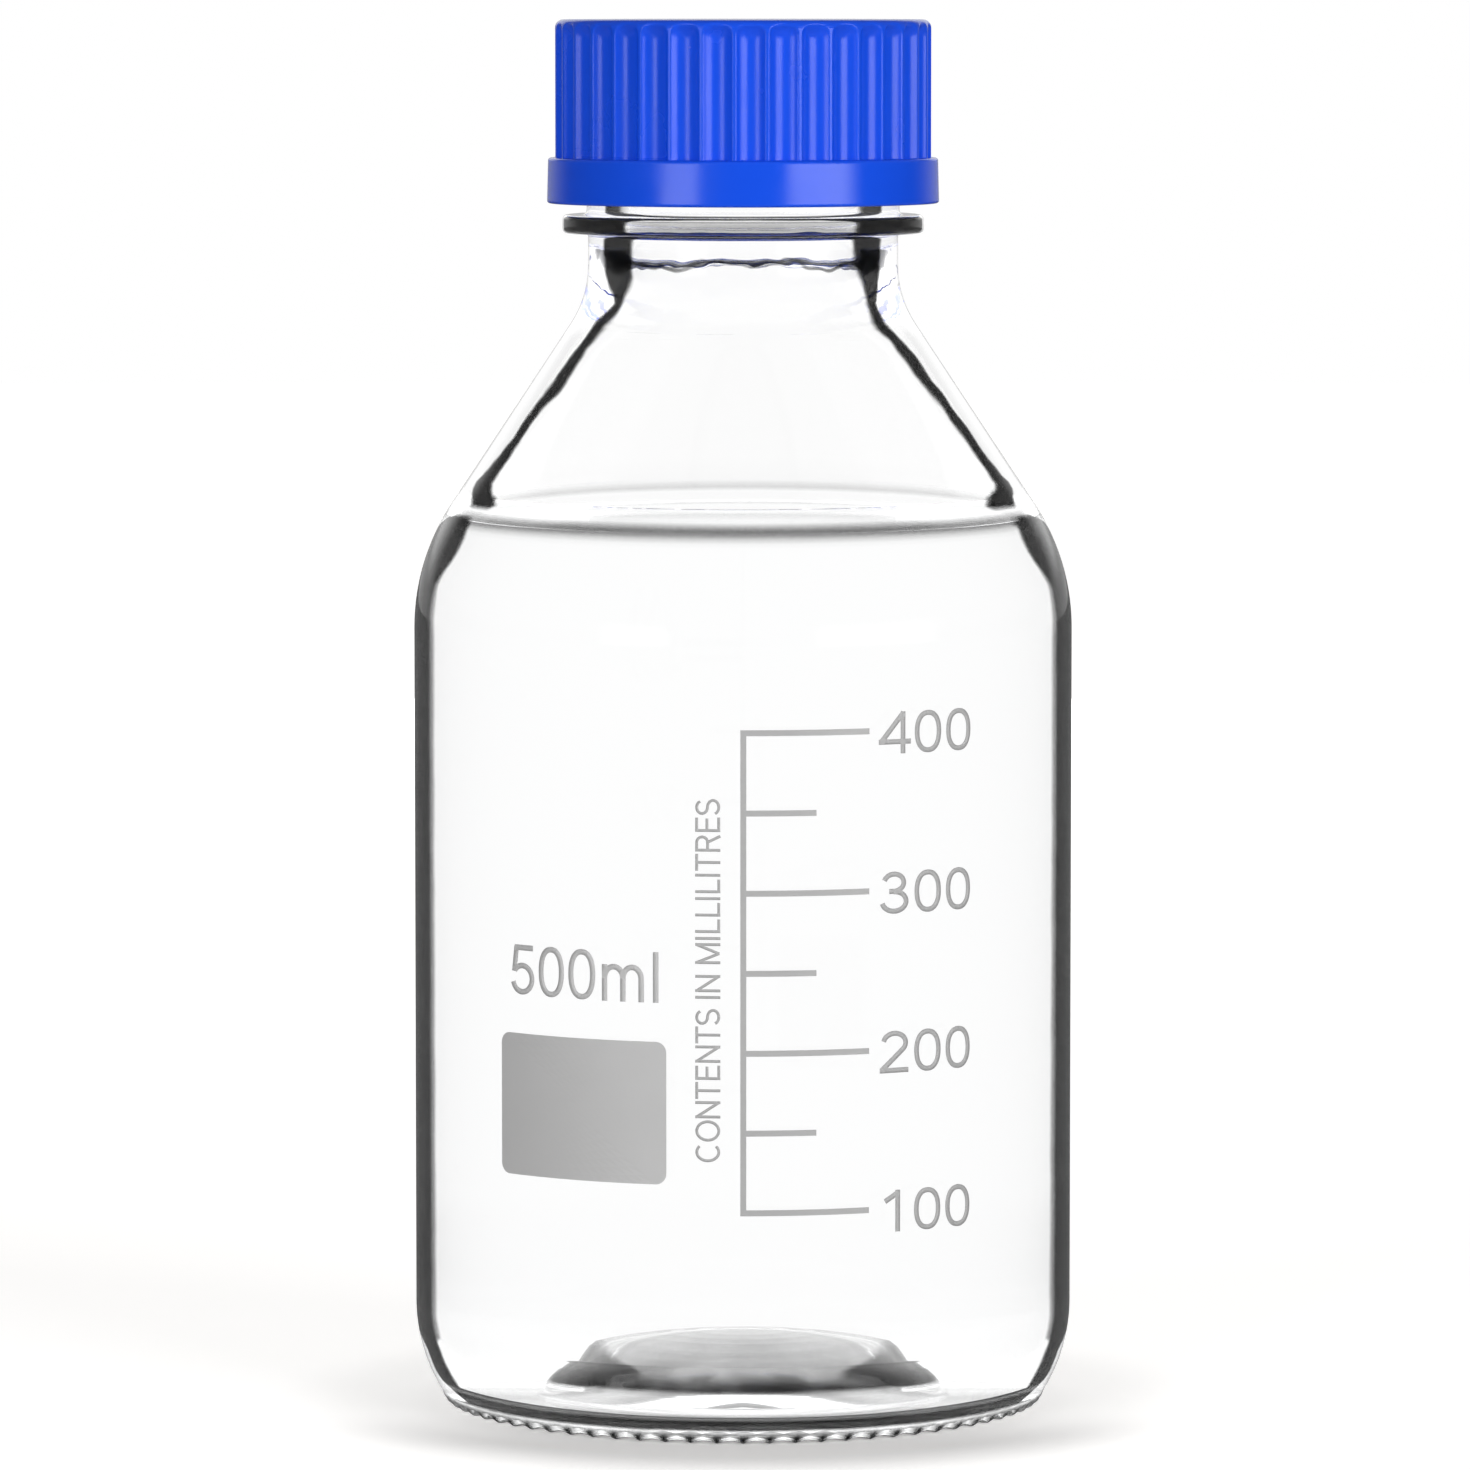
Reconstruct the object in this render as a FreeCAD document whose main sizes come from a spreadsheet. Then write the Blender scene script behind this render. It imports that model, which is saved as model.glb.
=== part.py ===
import FreeCAD
import Part
import math
import os
import Sketcher

# A laboratory bottle with a screw cap.
# The origin is the centre of the foot ring, +Z is up and -Y is the printed front.
# Lengths are in millimetres and angles in degrees.

DIMENSIONS = {
    # Body
    "body_radius": 43.0,
    "wall": 3.2,
    "lip_height": 176.0,
    # Shoulder: a straight cone between two tangent arcs
    "cone_turn": 33.57,
    "cone_height": 139.2,
    "cone_radius": 23.96,
    "cone_gap": 2.1,
    "shoulder_arc": 29.2,
    "shoulder_arc_inside": 26.0,
    "flare_arc": 14.0,
    "flare_arc_inside": 12.0,
    # Foot, heel and pushed-up base
    "foot_inner_radius": 33.0,
    "heel_corner": 1.5,
    "heel_arc": 24.0,
    "heel_turn": 30.0,
    "punt_radius": 18.0,
    "punt_foot": 1.6,
    "punt_height": 5.6,
    "floor_height": 3.2,
    "floor_corner": 7.0,
    "floor_dome_radius": 19.4,
    "floor_dome_foot": 4.2,
    "floor_dome_height": 10.6,
    # Neck, collar and lip
    "neck_radius": 20.2,
    "bore_radius": 15.0,
    "collar_radius": 23.55,
    "collar_low": 153.2,
    "collar_high": 155.6,
    "collar_round": 0.6,
    "finish_radius": 20.4,
    "groove_radius": 19.2,
    "groove_low": 170.6,
    "groove_step": 0.6,
    "bead_radius": 19.7,
    "bead_low": 173.3,
    "lip_round": 1.0,
    # Screw thread, shared by glass and cap
    "pitch": 4.0,
    "glass_thread_radius": 22.2,
    "glass_thread_low": 160.4,
    "glass_thread_turns": 2.2,
    "glass_thread_root": 2.5,
    "glass_thread_crest": 0.9,
    "cap_thread_radius": 20.95,
    "cap_thread_low": 162.6,
    "cap_thread_turns": 1.75,
    "cap_thread_root": 2.0,
    "cap_thread_crest": 0.8,
    "thread_sink": 0.4,
    # Pouring ring, snapped over the lip
    "ring_outer_radius": 20.6,
    "ring_low": 171.6,
    "ring_catch_radius": 19.35,
    "ring_catch_height": 1.0,
    "ring_skirt_radius": 19.8,
    "ring_gap": 0.1,
    "ring_tube_radius": 14.85,
    "ring_bore_radius": 13.9,
    "ring_top": 177.1,
    "ring_ease": 0.5,
    "drip_edge_top": 177.7,
    "drip_edge_width": 0.4,
    # Liner, loose in the roof of the cap
    "liner_radius": 22.2,
    "liner_low": 177.75,
    "liner_thickness": 1.2,
    "liner_ease": 0.2,
    # Cap
    "cap_low": 157.1,
    "cap_top": 180.95,
    "cap_radius": 24.5,
    "cap_round": 1.1,
    "cap_bore_radius": 22.6,
    "cap_roof_low": 179.05,
    "cap_mouth_radius": 23.8,
    "cap_lead_in": 1.9,
    "skirt_top": 163.0,
    "skirt_radius_top": 25.4,
    "skirt_radius_low": 25.55,
    "skirt_round": 0.3,
    "catch_radius": 21.9,
    "catch_middle": 177.1,
    "catch_half_height": 0.5,
    "flutes": 36,
    "flute_turn": 2.3,
    "flute_top": 179.6,
    "flute_radius": 2.4,
    "flute_depth": 1.0,
    # Printed scale and writing field, fired on the glass
    "print_gap": 0.02,
    "print_thickness": 0.15,
    "print_line": 0.76,
    "first_mark": 30.3,
    "mark_step": 20.35,
    "numbered_marks": 4,
    "long_mark_turn": 21.75,
    "short_mark_turn": 12.4,
    "field_low": 33.8,
    "field_high": 52.0,
    "field_turn": 32.7,
    "field_start_turn": -45.8,
    "field_round": 1.4,
}

FRONT_TURN = -90.0

document = FreeCAD.newDocument("reagent_bottle")
sheet = document.addObject("Spreadsheet::Sheet", "dim")
for row, (alias, value) in enumerate(DIMENSIONS.items(), start=1):
    sheet.set(f"A{row}", alias)
    sheet.set(f"B{row}", str(value))
    sheet.setAlias(f"B{row}", alias)
document.recompute()


def size(expression):
    """The number that an expression of the sheet gives."""
    return float(sheet.evalExpression(expression))


def origin_feature(body, role):
    """One plane or axis of a body's own origin."""
    return next(f for f in body.Origin.OriginFeatures if f.Role == role)


def new_body(label, turn=0.0):
    """An empty body, turned about the bottle's axis."""
    body = document.addObject("PartDesign::Body", label)
    body.Label = label
    body.Placement.Rotation = FreeCAD.Rotation(FreeCAD.Vector(0, 0, 1), turn)
    return body


def arc_between(start, end, radius, hollow):
    """The short arc from start to end. A hollow arc bends to the other side."""
    middle = (start + end) * 0.5
    chord = end - start
    side = FreeCAD.Vector(-chord.y, chord.x, 0).normalize()
    rise = math.sqrt(max(radius**2 - chord.Length**2 / 4, 0.0))
    centre = middle + side * (rise if not hollow else -rise)
    first, last = (start, end) if not hollow else (end, start)
    angles = [math.atan2(p.y - centre.y, p.x - centre.x) for p in (first, last)]
    circle = Part.Circle(centre, FreeCAD.Vector(0, 0, 1), radius)
    return Part.ArcOfCircle(circle, angles[0], angles[1] + (angles[1] < angles[0]) * 2 * math.pi)


def bind(sketch, constraint, expression):
    """Add a constraint whose value follows the sheet."""
    index = sketch.addConstraint(constraint)
    sketch.setExpression(f"Constraints[{index}]", expression)


def half_section(body, name, corners):
    """A closed outline in the plane of radius and height.

    Each corner is (radius, height), both expressions, reached by a straight line.
    A third item is the radius of the arc that reaches it, and a fourth makes it hollow.
    """
    sketch = body.newObject("Sketcher::SketchObject", name)
    sketch.AttachmentSupport = [(origin_feature(body, "XZ_Plane"), "")]
    sketch.MapMode = "FlatFace"
    places = [FreeCAD.Vector(size(c[0]), size(c[1]), 0) for c in corners]
    ends = []
    for index, corner in enumerate(corners):
        start, end = places[index - 1], places[index]
        hollow = len(corner) > 3
        if len(corner) > 2:
            edge = sketch.addGeometry(arc_between(start, end, size(corner[2]), hollow))
        else:
            edge = sketch.addGeometry(Part.LineSegment(start, end))
        ends.append((edge, 2, 1) if hollow else (edge, 1, 2))
    for index, corner in enumerate(corners):
        edge, _, last = ends[index]
        following, first, _ = ends[(index + 1) % len(ends)]
        sketch.addConstraint(Sketcher.Constraint("Coincident", edge, last, following, first))
        if places[index].x == 0:
            sketch.addConstraint(Sketcher.Constraint("PointOnObject", edge, last, -2))
        else:
            across = Sketcher.Constraint("DistanceX", -1, 1, edge, last, places[index].x)
            bind(sketch, across, corner[0])
        if places[index].y == 0:
            sketch.addConstraint(Sketcher.Constraint("PointOnObject", edge, last, -1))
        else:
            up = Sketcher.Constraint("DistanceY", -1, 1, edge, last, places[index].y)
            bind(sketch, up, corner[1])
        if len(corner) > 2:
            bind(sketch, Sketcher.Constraint("Radius", edge, size(corner[2])), corner[2])
    return sketch


def turned(body, name, corners, angle="360"):
    """A half section turned about the bottle's axis."""
    sketch = half_section(body, name + "_section", corners)
    solid = body.newObject("PartDesign::Revolution", name)
    solid.Profile = sketch
    solid.ReferenceAxis = (sketch, ["V_Axis"])
    solid.setExpression("Angle", angle)
    return solid


def thread(body, name, turns, corners):
    """A screw thread: a section wound up round the bottle's axis, right-handed."""
    sketch = half_section(body, name + "_section", corners)
    ridge = body.newObject("PartDesign::AdditiveHelix", name)
    ridge.Profile = sketch
    ridge.ReferenceAxis = (sketch, ["V_Axis"])
    ridge.Mode = "pitch-turns-angle"
    ridge.setExpression("Pitch", "dim.pitch")
    ridge.setExpression("Turns", turns)
    ridge.LeftHanded = False
    return ridge


def thread_section(prefix, root_radius):
    """A blunt thread's section, from sunk root to crest, centred on its lowest height."""
    low = f"dim.{prefix}_low"
    crest_radius = f"dim.{prefix}_radius"
    root, crest = f"dim.{prefix}_root / 2", f"dim.{prefix}_crest / 2"
    return [
        (root_radius, f"{low} - {root}"),
        (crest_radius, f"{low} - {crest}"),
        (crest_radius, f"{low} + {crest}"),
        (root_radius, f"{low} + {root}"),
    ]


def cone_at(radius, gap):
    """The height at which the shoulder's cone, moved in by gap, has a radius."""
    return f"dim.cone_height - ({radius} - dim.cone_radius + {gap}) / tan(dim.cone_turn)"


def arc_inset(arc):
    """How far an arc that ends along the cone comes in from its straight side."""
    return f"{arc} * (1 - cos(dim.cone_turn))"


def arc_drop(arc):
    """How much height that arc takes."""
    return f"{arc} * sin(dim.cone_turn)"


def glass_section():
    """The glass wall: under the base, up the outside, over the lip and down the inside."""
    heel_rise = "(dim.heel_arc - dim.heel_corner) * sin(dim.heel_turn) + dim.heel_corner"
    heel_edge = "dim.body_radius - dim.heel_arc * (1 - cos(dim.heel_turn))"
    heel_edge_height = f"{heel_rise} - dim.heel_arc * sin(dim.heel_turn)"
    foot_edge = f"{heel_edge} - dim.heel_corner * cos(dim.heel_turn)"
    punt_rise = "(dim.punt_height - dim.punt_foot)"
    punt_arc = f"(dim.punt_radius ^ 2 + {punt_rise} ^ 2) / (2 * {punt_rise})"
    dome_rise = "(dim.floor_dome_height - dim.floor_dome_foot)"
    dome_arc = f"(dim.floor_dome_radius ^ 2 + {dome_rise} ^ 2) / (2 * {dome_rise})"
    inside = "dim.body_radius - dim.wall"
    shoulder_top = f"dim.body_radius - {arc_inset('dim.shoulder_arc')}"
    shoulder_top_height = cone_at(f"({shoulder_top})", "0")
    flare_low = f"dim.neck_radius + {arc_inset('dim.flare_arc')}"
    flare_low_height = cone_at(f"({flare_low})", "0")
    inner_flare = f"dim.bore_radius + {arc_inset('dim.flare_arc_inside')}"
    inner_flare_height = cone_at(f"({inner_flare})", "dim.cone_gap")
    inner_shoulder = f"{inside} - {arc_inset('dim.shoulder_arc_inside')}"
    inner_shoulder_height = cone_at(f"({inner_shoulder})", "dim.cone_gap")
    collar_edge = "dim.collar_radius - dim.collar_round"
    return [
        ("0", "dim.punt_height"),
        ("dim.punt_radius", "dim.punt_foot", punt_arc, "hollow"),
        ("dim.foot_inner_radius", "0"),
        (foot_edge, "0"),
        (heel_edge, heel_edge_height, "dim.heel_corner"),
        ("dim.body_radius", heel_rise, "dim.heel_arc"),
        ("dim.body_radius", f"{shoulder_top_height} - {arc_drop('dim.shoulder_arc')}"),
        (shoulder_top, shoulder_top_height, "dim.shoulder_arc"),
        (flare_low, flare_low_height),
        (
            "dim.neck_radius",
            f"{flare_low_height} + {arc_drop('dim.flare_arc')}",
            "dim.flare_arc",
            "hollow",
        ),
        ("dim.neck_radius", "dim.collar_low"),
        (collar_edge, "dim.collar_low"),
        ("dim.collar_radius", "dim.collar_low + dim.collar_round", "dim.collar_round"),
        ("dim.collar_radius", "dim.collar_high - dim.collar_round"),
        (collar_edge, "dim.collar_high", "dim.collar_round"),
        ("dim.finish_radius", "dim.collar_high"),
        ("dim.finish_radius", "dim.groove_low"),
        ("dim.groove_radius", "dim.groove_low + dim.groove_step"),
        ("dim.groove_radius", "dim.bead_low - dim.groove_step"),
        ("dim.bead_radius", "dim.bead_low"),
        ("dim.bead_radius", "dim.lip_height - dim.lip_round"),
        ("dim.bead_radius - dim.lip_round", "dim.lip_height", "dim.lip_round"),
        ("dim.bore_radius + dim.lip_round", "dim.lip_height"),
        ("dim.bore_radius", "dim.lip_height - dim.lip_round", "dim.lip_round"),
        ("dim.bore_radius", f"{inner_flare_height} + {arc_drop('dim.flare_arc_inside')}"),
        (inner_flare, inner_flare_height, "dim.flare_arc_inside"),
        (inner_shoulder, inner_shoulder_height),
        (
            inside,
            f"{inner_shoulder_height} - {arc_drop('dim.shoulder_arc_inside')}",
            "dim.shoulder_arc_inside",
            "hollow",
        ),
        (inside, "dim.floor_height + dim.floor_corner"),
        (f"{inside} - dim.floor_corner", "dim.floor_height", "dim.floor_corner", "hollow"),
        ("dim.floor_dome_radius", "dim.floor_height"),
        ("dim.floor_dome_radius", "dim.floor_dome_foot"),
        ("0", "dim.floor_dome_height", dome_arc),
    ]


def glass_bottle():
    """The blown glass bottle with its collar and outside thread."""
    body = new_body("glass_bottle")
    turned(body, "wall", glass_section())
    root = "dim.finish_radius - dim.thread_sink"
    section = thread_section("glass_thread", root)
    thread(body, "neck_thread", "dim.glass_thread_turns", section)
    return body


def pouring_ring():
    """The drip-free ring that snaps over the glass bead."""
    body = new_body("pouring_ring")
    seat = "dim.lip_height + dim.ring_gap"
    catch_top = "dim.ring_low + dim.ring_catch_height"
    drip_inner = "dim.ring_outer_radius - dim.drip_edge_width"
    corners = [
        ("dim.ring_catch_radius", "dim.ring_low"),
        ("dim.ring_outer_radius", "dim.ring_low"),
        ("dim.ring_outer_radius", "dim.drip_edge_top"),
        (drip_inner, "dim.drip_edge_top"),
        (f"{drip_inner} - dim.ring_ease", "dim.ring_top"),
        ("dim.ring_bore_radius + dim.ring_ease", "dim.ring_top"),
        ("dim.ring_bore_radius", "dim.ring_top - dim.ring_ease"),
        ("dim.ring_bore_radius", "dim.ring_low"),
        ("dim.ring_tube_radius", "dim.ring_low"),
        ("dim.ring_tube_radius", seat),
        ("dim.ring_skirt_radius", seat),
        ("dim.ring_skirt_radius", f"{catch_top} + dim.ring_skirt_radius - dim.ring_catch_radius"),
        ("dim.ring_catch_radius", catch_top),
    ]
    turned(body, "ring", corners)
    return body


def cap_liner():
    """The soft sealing disc between the lip and the roof of the cap."""
    body = new_body("cap_liner")
    top = "dim.liner_low + dim.liner_thickness"
    corners = [
        ("0", "dim.liner_low"),
        ("dim.liner_radius - dim.liner_ease", "dim.liner_low"),
        ("dim.liner_radius", "dim.liner_low + dim.liner_ease"),
        ("dim.liner_radius", top),
        ("0", top),
    ]
    turned(body, "disc", corners)
    return body


def screw_cap():
    """The moulded cap: a roof, fluted grip, smooth skirt, liner catch and inside thread."""
    body = new_body("screw_cap")
    lead_in_top = "dim.cap_low + dim.cap_lead_in"
    corners = [
        ("0", "dim.cap_roof_low"),
        ("dim.cap_bore_radius", "dim.cap_roof_low"),
        ("dim.cap_bore_radius", "dim.catch_middle + dim.catch_half_height"),
        ("dim.catch_radius", "dim.catch_middle"),
        ("dim.cap_bore_radius", "dim.catch_middle - dim.catch_half_height"),
        ("dim.cap_bore_radius", lead_in_top),
        ("dim.cap_mouth_radius", "dim.cap_low"),
        ("dim.skirt_radius_low - dim.skirt_round", "dim.cap_low"),
        ("dim.skirt_radius_low", "dim.cap_low + dim.skirt_round", "dim.skirt_round"),
        ("dim.skirt_radius_top", "dim.skirt_top - dim.skirt_round"),
        ("dim.skirt_radius_top - dim.skirt_round", "dim.skirt_top", "dim.skirt_round"),
        ("dim.cap_radius", "dim.skirt_top"),
        ("dim.cap_radius", "dim.cap_top - dim.cap_round"),
        ("dim.cap_radius - dim.cap_round", "dim.cap_top", "dim.cap_round"),
        ("0", "dim.cap_top"),
    ]
    turned(body, "shell", corners)
    document.recompute()
    flute = body.newObject("PartDesign::SubtractiveCylinder", "flute")
    flute.setExpression("Radius", "dim.flute_radius")
    flute.setExpression("Height", "dim.flute_top - dim.skirt_top")
    flute.AttachmentSupport = [(origin_feature(body, "XY_Plane"), "")]
    flute.MapMode = "FlatFace"
    reach = "dim.cap_radius - dim.flute_depth + dim.flute_radius"
    flute.setExpression("AttachmentOffset.Base.x", f"({reach}) * cos(dim.flute_turn)")
    flute.setExpression("AttachmentOffset.Base.y", f"({reach}) * sin(dim.flute_turn)")
    flute.setExpression("AttachmentOffset.Base.z", "dim.skirt_top")
    document.recompute()
    grip = body.newObject("PartDesign::PolarPattern", "grip")
    grip.Originals = [flute]
    grip.Axis = (origin_feature(body, "Z_Axis"), [""])
    grip.Angle = 360
    grip.setExpression("Occurrences", "dim.flutes")
    body.Tip = grip
    document.recompute()
    root = "dim.cap_bore_radius + dim.thread_sink"
    section = thread_section("cap_thread", root)
    thread(body, "inside_thread", "dim.cap_thread_turns", section)
    return body


def print_section(low, high):
    """The section of a printed patch on the straight body."""
    inner = "dim.body_radius + dim.print_gap"
    outer = f"{inner} + dim.print_thickness"
    return [(inner, low), (outer, low), (outer, high), (inner, high)]


def volume_scale():
    """The printed scale: an upright line with long numbered marks and short ones between."""
    body = new_body("volume_scale", FRONT_TURN)
    half = "dim.print_line / 2"
    last_mark = "dim.first_mark + dim.mark_step * (dim.numbered_marks - 1)"
    line_turn = "2 * asin(dim.print_line / 2 / dim.body_radius)"
    section = print_section(f"dim.first_mark - {half}", f"{last_mark} + {half}")
    turned(body, "upright", section, line_turn)
    for index in range(int(size("dim.numbered_marks"))):
        middle = f"dim.first_mark + {index} * dim.mark_step"
        section = print_section(f"{middle} - {half}", f"{middle} + {half}")
        turned(body, f"long_mark_{index + 1}", section, "dim.long_mark_turn")
    for index in range(int(size("dim.numbered_marks")) - 1):
        middle = f"dim.first_mark + {index + 0.5} * dim.mark_step"
        section = print_section(f"{middle} - {half}", f"{middle} + {half}")
        turned(body, f"short_mark_{index + 1}", section, "dim.short_mark_turn")
    return body


def marking_field():
    """The printed patch for writing on, with rounded corners."""
    body = new_body("marking_field", FRONT_TURN + size("dim.field_start_turn"))
    patch = turned(body, "patch", print_section("dim.field_low", "dim.field_high"), "dim.field_turn")
    document.recompute()
    thickness = size("dim.print_thickness")
    corners = [
        f"Edge{index}"
        for index, edge in enumerate(patch.Shape.Edges, start=1)
        if abs(edge.Length - thickness) < thickness / 4
    ]
    rounds = body.newObject("PartDesign::Fillet", "rounded_corners")
    rounds.Base = (patch, corners)
    rounds.setExpression("Radius", "dim.field_round")
    return body


sub_parts = [
    glass_bottle(),
    pouring_ring(),
    cap_liner(),
    screw_cap(),
    volume_scale(),
    marking_field(),
]
document.recompute()

for item in document.Objects:
    if "Invalid" in item.State or "Error" in item.State:
        raise RuntimeError(f"{item.Label} did not build: {item.State}")

os.makedirs("parts", exist_ok=True)
for body in sub_parts:
    shape = body.Shape
    if shape.isNull() or not shape.isValid():
        raise RuntimeError(f"{body.Label} has no valid shape")
    box = shape.optimalBoundingBox(True, False)
    print(
        f"{body.Label}: {len(shape.Solids)} solid, {shape.Volume / 1000:.2f} ml, "
        f"{box.XLength:.2f} x {box.YLength:.2f} x {box.ZLength:.2f} mm from {box.ZMin:.2f}"
    )
    shape.exportStep(os.path.join("parts", f"{body.Label}.step"))
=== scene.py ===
# %% [markdown]
# # A reagent bottle in clear glass and blue plastic
# The object is a half-litre laboratory bottle: a clear body with a sloped shoulder and a
# collared screw neck, a fluted blue cap, a grey printed scale, and a clear liquid inside.
# A measured model is loaded first and is never moved. Every piece below is built around its
# sizes: sections are drawn in millimetres, and the meshes that they give are in metres.

# %% Load the measured frame
import math

import bpy
import numpy as np
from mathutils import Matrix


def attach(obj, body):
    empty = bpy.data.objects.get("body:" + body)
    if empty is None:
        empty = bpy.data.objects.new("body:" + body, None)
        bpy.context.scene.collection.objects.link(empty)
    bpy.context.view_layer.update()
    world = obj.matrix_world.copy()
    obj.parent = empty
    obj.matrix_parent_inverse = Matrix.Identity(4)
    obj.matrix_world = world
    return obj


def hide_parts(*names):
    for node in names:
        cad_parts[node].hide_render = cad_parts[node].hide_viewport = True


MM = 0.001
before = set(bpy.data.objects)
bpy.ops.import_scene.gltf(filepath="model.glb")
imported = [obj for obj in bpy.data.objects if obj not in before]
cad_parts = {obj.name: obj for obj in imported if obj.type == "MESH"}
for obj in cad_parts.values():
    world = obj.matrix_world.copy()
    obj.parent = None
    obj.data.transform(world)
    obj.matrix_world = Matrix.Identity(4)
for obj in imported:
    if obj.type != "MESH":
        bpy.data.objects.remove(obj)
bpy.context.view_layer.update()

# %% [markdown]
# ## The camera
# The view is a long lens a little above the cap, tipped slightly down. The tip and the distance
# were worked out from how the bottle's ellipses open from the neck to the base, so the camera
# needs no shift. A long lens matters for glass: it decides which surroundings each edge bends in.

# %% Camera
PHOTO_PIXELS, FOCAL_PIXELS = 1470, 8808
CAMERA_PLACE, CAMERA_TIP = (-0.00105, -1.150, 0.185), 4.847
camera_data = bpy.data.cameras.new("camera")
camera_data.sensor_width = 36.0
camera_data.lens = camera_data.sensor_width * FOCAL_PIXELS / PHOTO_PIXELS
camera = bpy.data.objects.new("camera", camera_data)
camera.location = CAMERA_PLACE
camera.rotation_euler = (math.radians(90 - CAMERA_TIP), 0, 0)
bpy.context.scene.collection.objects.link(camera)
bpy.context.scene.camera = camera
bpy.context.scene.view_settings.view_transform = "Standard"
print("camera lens", round(camera_data.lens, 1), "mm")

# %% [markdown]
# ## Small helpers for node trees
# Geometry Nodes and shaders are both graphs, and building one by hand means many lines of
# "add a node, link a socket". A few short helpers keep the later cells readable. Outputs are wrapped
# as values that can be added and multiplied with plain signs: each sign adds one Math node.


# %% Values
class Value:
    """One output of a node, which takes part in sums like a number."""

    def __init__(self, socket):
        self.socket = socket
        self.tree = socket.id_data

    def __abs__(self):
        return calc("ABSOLUTE", self)

    def __neg__(self):
        return calc("MULTIPLY", self, -1.0)


SIGNS = {"add": "ADD", "sub": "SUBTRACT", "mul": "MULTIPLY", "truediv": "DIVIDE", "pow": "POWER"}
for sign, operation in SIGNS.items():
    setattr(Value, f"__{sign}__", lambda self, other, way=operation: calc(way, self, other))
    setattr(Value, f"__r{sign}__", lambda self, other, way=operation: calc(way, other, self))
print("values know", sorted(SIGNS))


# %% Nodes
def feed(socket, value):
    """Links a socket to a value of its tree, or writes a plain one on it."""
    if isinstance(value, Value):
        value.tree.links.new(value.socket, socket)
    elif value is not None:
        socket.default_value = value


def fill(made, values):
    """Feeds a node's inputs by name."""
    for key, value in values.items():
        feed(made.inputs[key], value)
    return made


def node(tree, kind, *values, inputs=None, **settings):
    """Adds a node, sets its options, and feeds its visible inputs in order, or some by name."""
    made = tree.nodes.new(kind)
    for name, value in settings.items():
        setattr(made, name, value)
    for socket, value in zip([s for s in made.inputs if s.enabled], values):
        feed(socket, value)
    return fill(made, inputs or {})


def output(tree, kind, *values, key=0, **settings):
    """Adds a node and gives one of its outputs."""
    return Value(node(tree, kind, *values, **settings).outputs[key])


def outputs(made):
    """All of a node's outputs by name."""
    return {socket.name: Value(socket) for socket in made.outputs}


print("nodes take values in order or by name")


# %% Sums, fades and blends
def tree_of(values):
    """The tree that the values among some numbers belong to."""
    return next(value.tree for value in values if isinstance(value, Value))


def calc(operation, *values):
    """The result of one Math node."""
    return output(tree_of(values), "ShaderNodeMath", *values, operation=operation)


def whole(operation, *values):
    """The result of one Math node for whole numbers."""
    return output(tree_of(values), "FunctionNodeIntegerMath", *values, operation=operation)


def split(vector):
    """The three axes of a vector."""
    return outputs(node(vector.tree, "ShaderNodeSeparateXYZ", vector))


def joined(*axes):
    """A vector of three axes."""
    return output(tree_of(axes), "ShaderNodeCombineXYZ", *axes)


def fade(value, start, end, low=0.0, high=1.0):
    """Goes smoothly from low to high while value goes from start to end."""
    kind = "ShaderNodeMapRange"
    return output(value.tree, kind, value, start, end, low, high, interpolation_type="SMOOTHSTEP")


def blend(share, first, second):
    """A number between two others."""
    return output(share.tree, "ShaderNodeMix", share, first, second, data_type="FLOAT")


def blend_colours(share, first, second):
    """A colour between two others."""
    made = node(share.tree, "ShaderNodeMix", data_type="RGBA")
    for number, value in ((0, share), (6, first), (7, second)):
        feed(made.inputs[number], value)
    return Value(made.outputs[2])


def grey(tone):
    """A colour with the same value in each channel."""
    return (tone, tone, tone, 1)


print("mid grey is", grey(0.5))

# %% [markdown]
# ## The room
# Clear glass shows only its surroundings, so the room is part of the material. The bottle stands
# on a pale floor in an even white room, with two tall soft boxes in front and one behind. Camera
# and transmission rays see plain white, so the clear body stays white. Overhead the room darkens,
# and the curved rims pick that up as grey lines. Gloss sees a darker room that is bright behind the
# bottle, with a bright patch for each front box. The boxes themselves are hidden from gloss, because
# the flat top of the cap would mirror a whole box as one white sheet.


# %% Floor
def own_place(tree):
    """Where a shaded point lies in its object's own coordinates."""
    return output(tree, "ShaderNodeTexCoord", key="Object")


def floor_material():
    """Pale floor that shows as white and keeps the bottle's real shadow, with a painted shadow close round
    its foot that is darkest in front.
    """
    made = bpy.data.materials.new("pale_floor")
    made.use_nodes = True
    tree = made.node_tree
    tree.nodes.clear()
    path = outputs(node(tree, "ShaderNodeLightPath"))
    away = output(tree, "ShaderNodeVectorMath", own_place(tree), operation="LENGTH", key="Value")
    # Painted shadow: the white glow that camera rays see is turned down close to the bottle, most of all in
    # front.
    foot = fade(split(own_place(tree))["Y"], -0.040, -0.012, 0.28, 0.60)
    near = fade(away, 0.047, 0.065, foot, 0.70)
    far = fade(away, 0.15, 1.0, 0.0, 0.3)
    matt = output(tree, "ShaderNodeBsdfDiffuse", (0.72, 0.71, 0.705, 1))
    glow = output(tree, "ShaderNodeEmission", (1, 0.992, 0.98, 1), path["Is Camera Ray"] * (near + far))
    lit = output(tree, "ShaderNodeAddShader", matt, glow)
    dim = output(tree, "ShaderNodeEmission", grey(1), 0.14)
    white = output(tree, "ShaderNodeEmission", grey(1), 1.0)
    mirrored = output(tree, "ShaderNodeMixShader", path["Is Glossy Ray"], lit, dim)
    shown = output(tree, "ShaderNodeMixShader", path["Is Transmission Ray"], mirrored, white)
    node(tree, "ShaderNodeOutputMaterial", shown)
    return made


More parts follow.
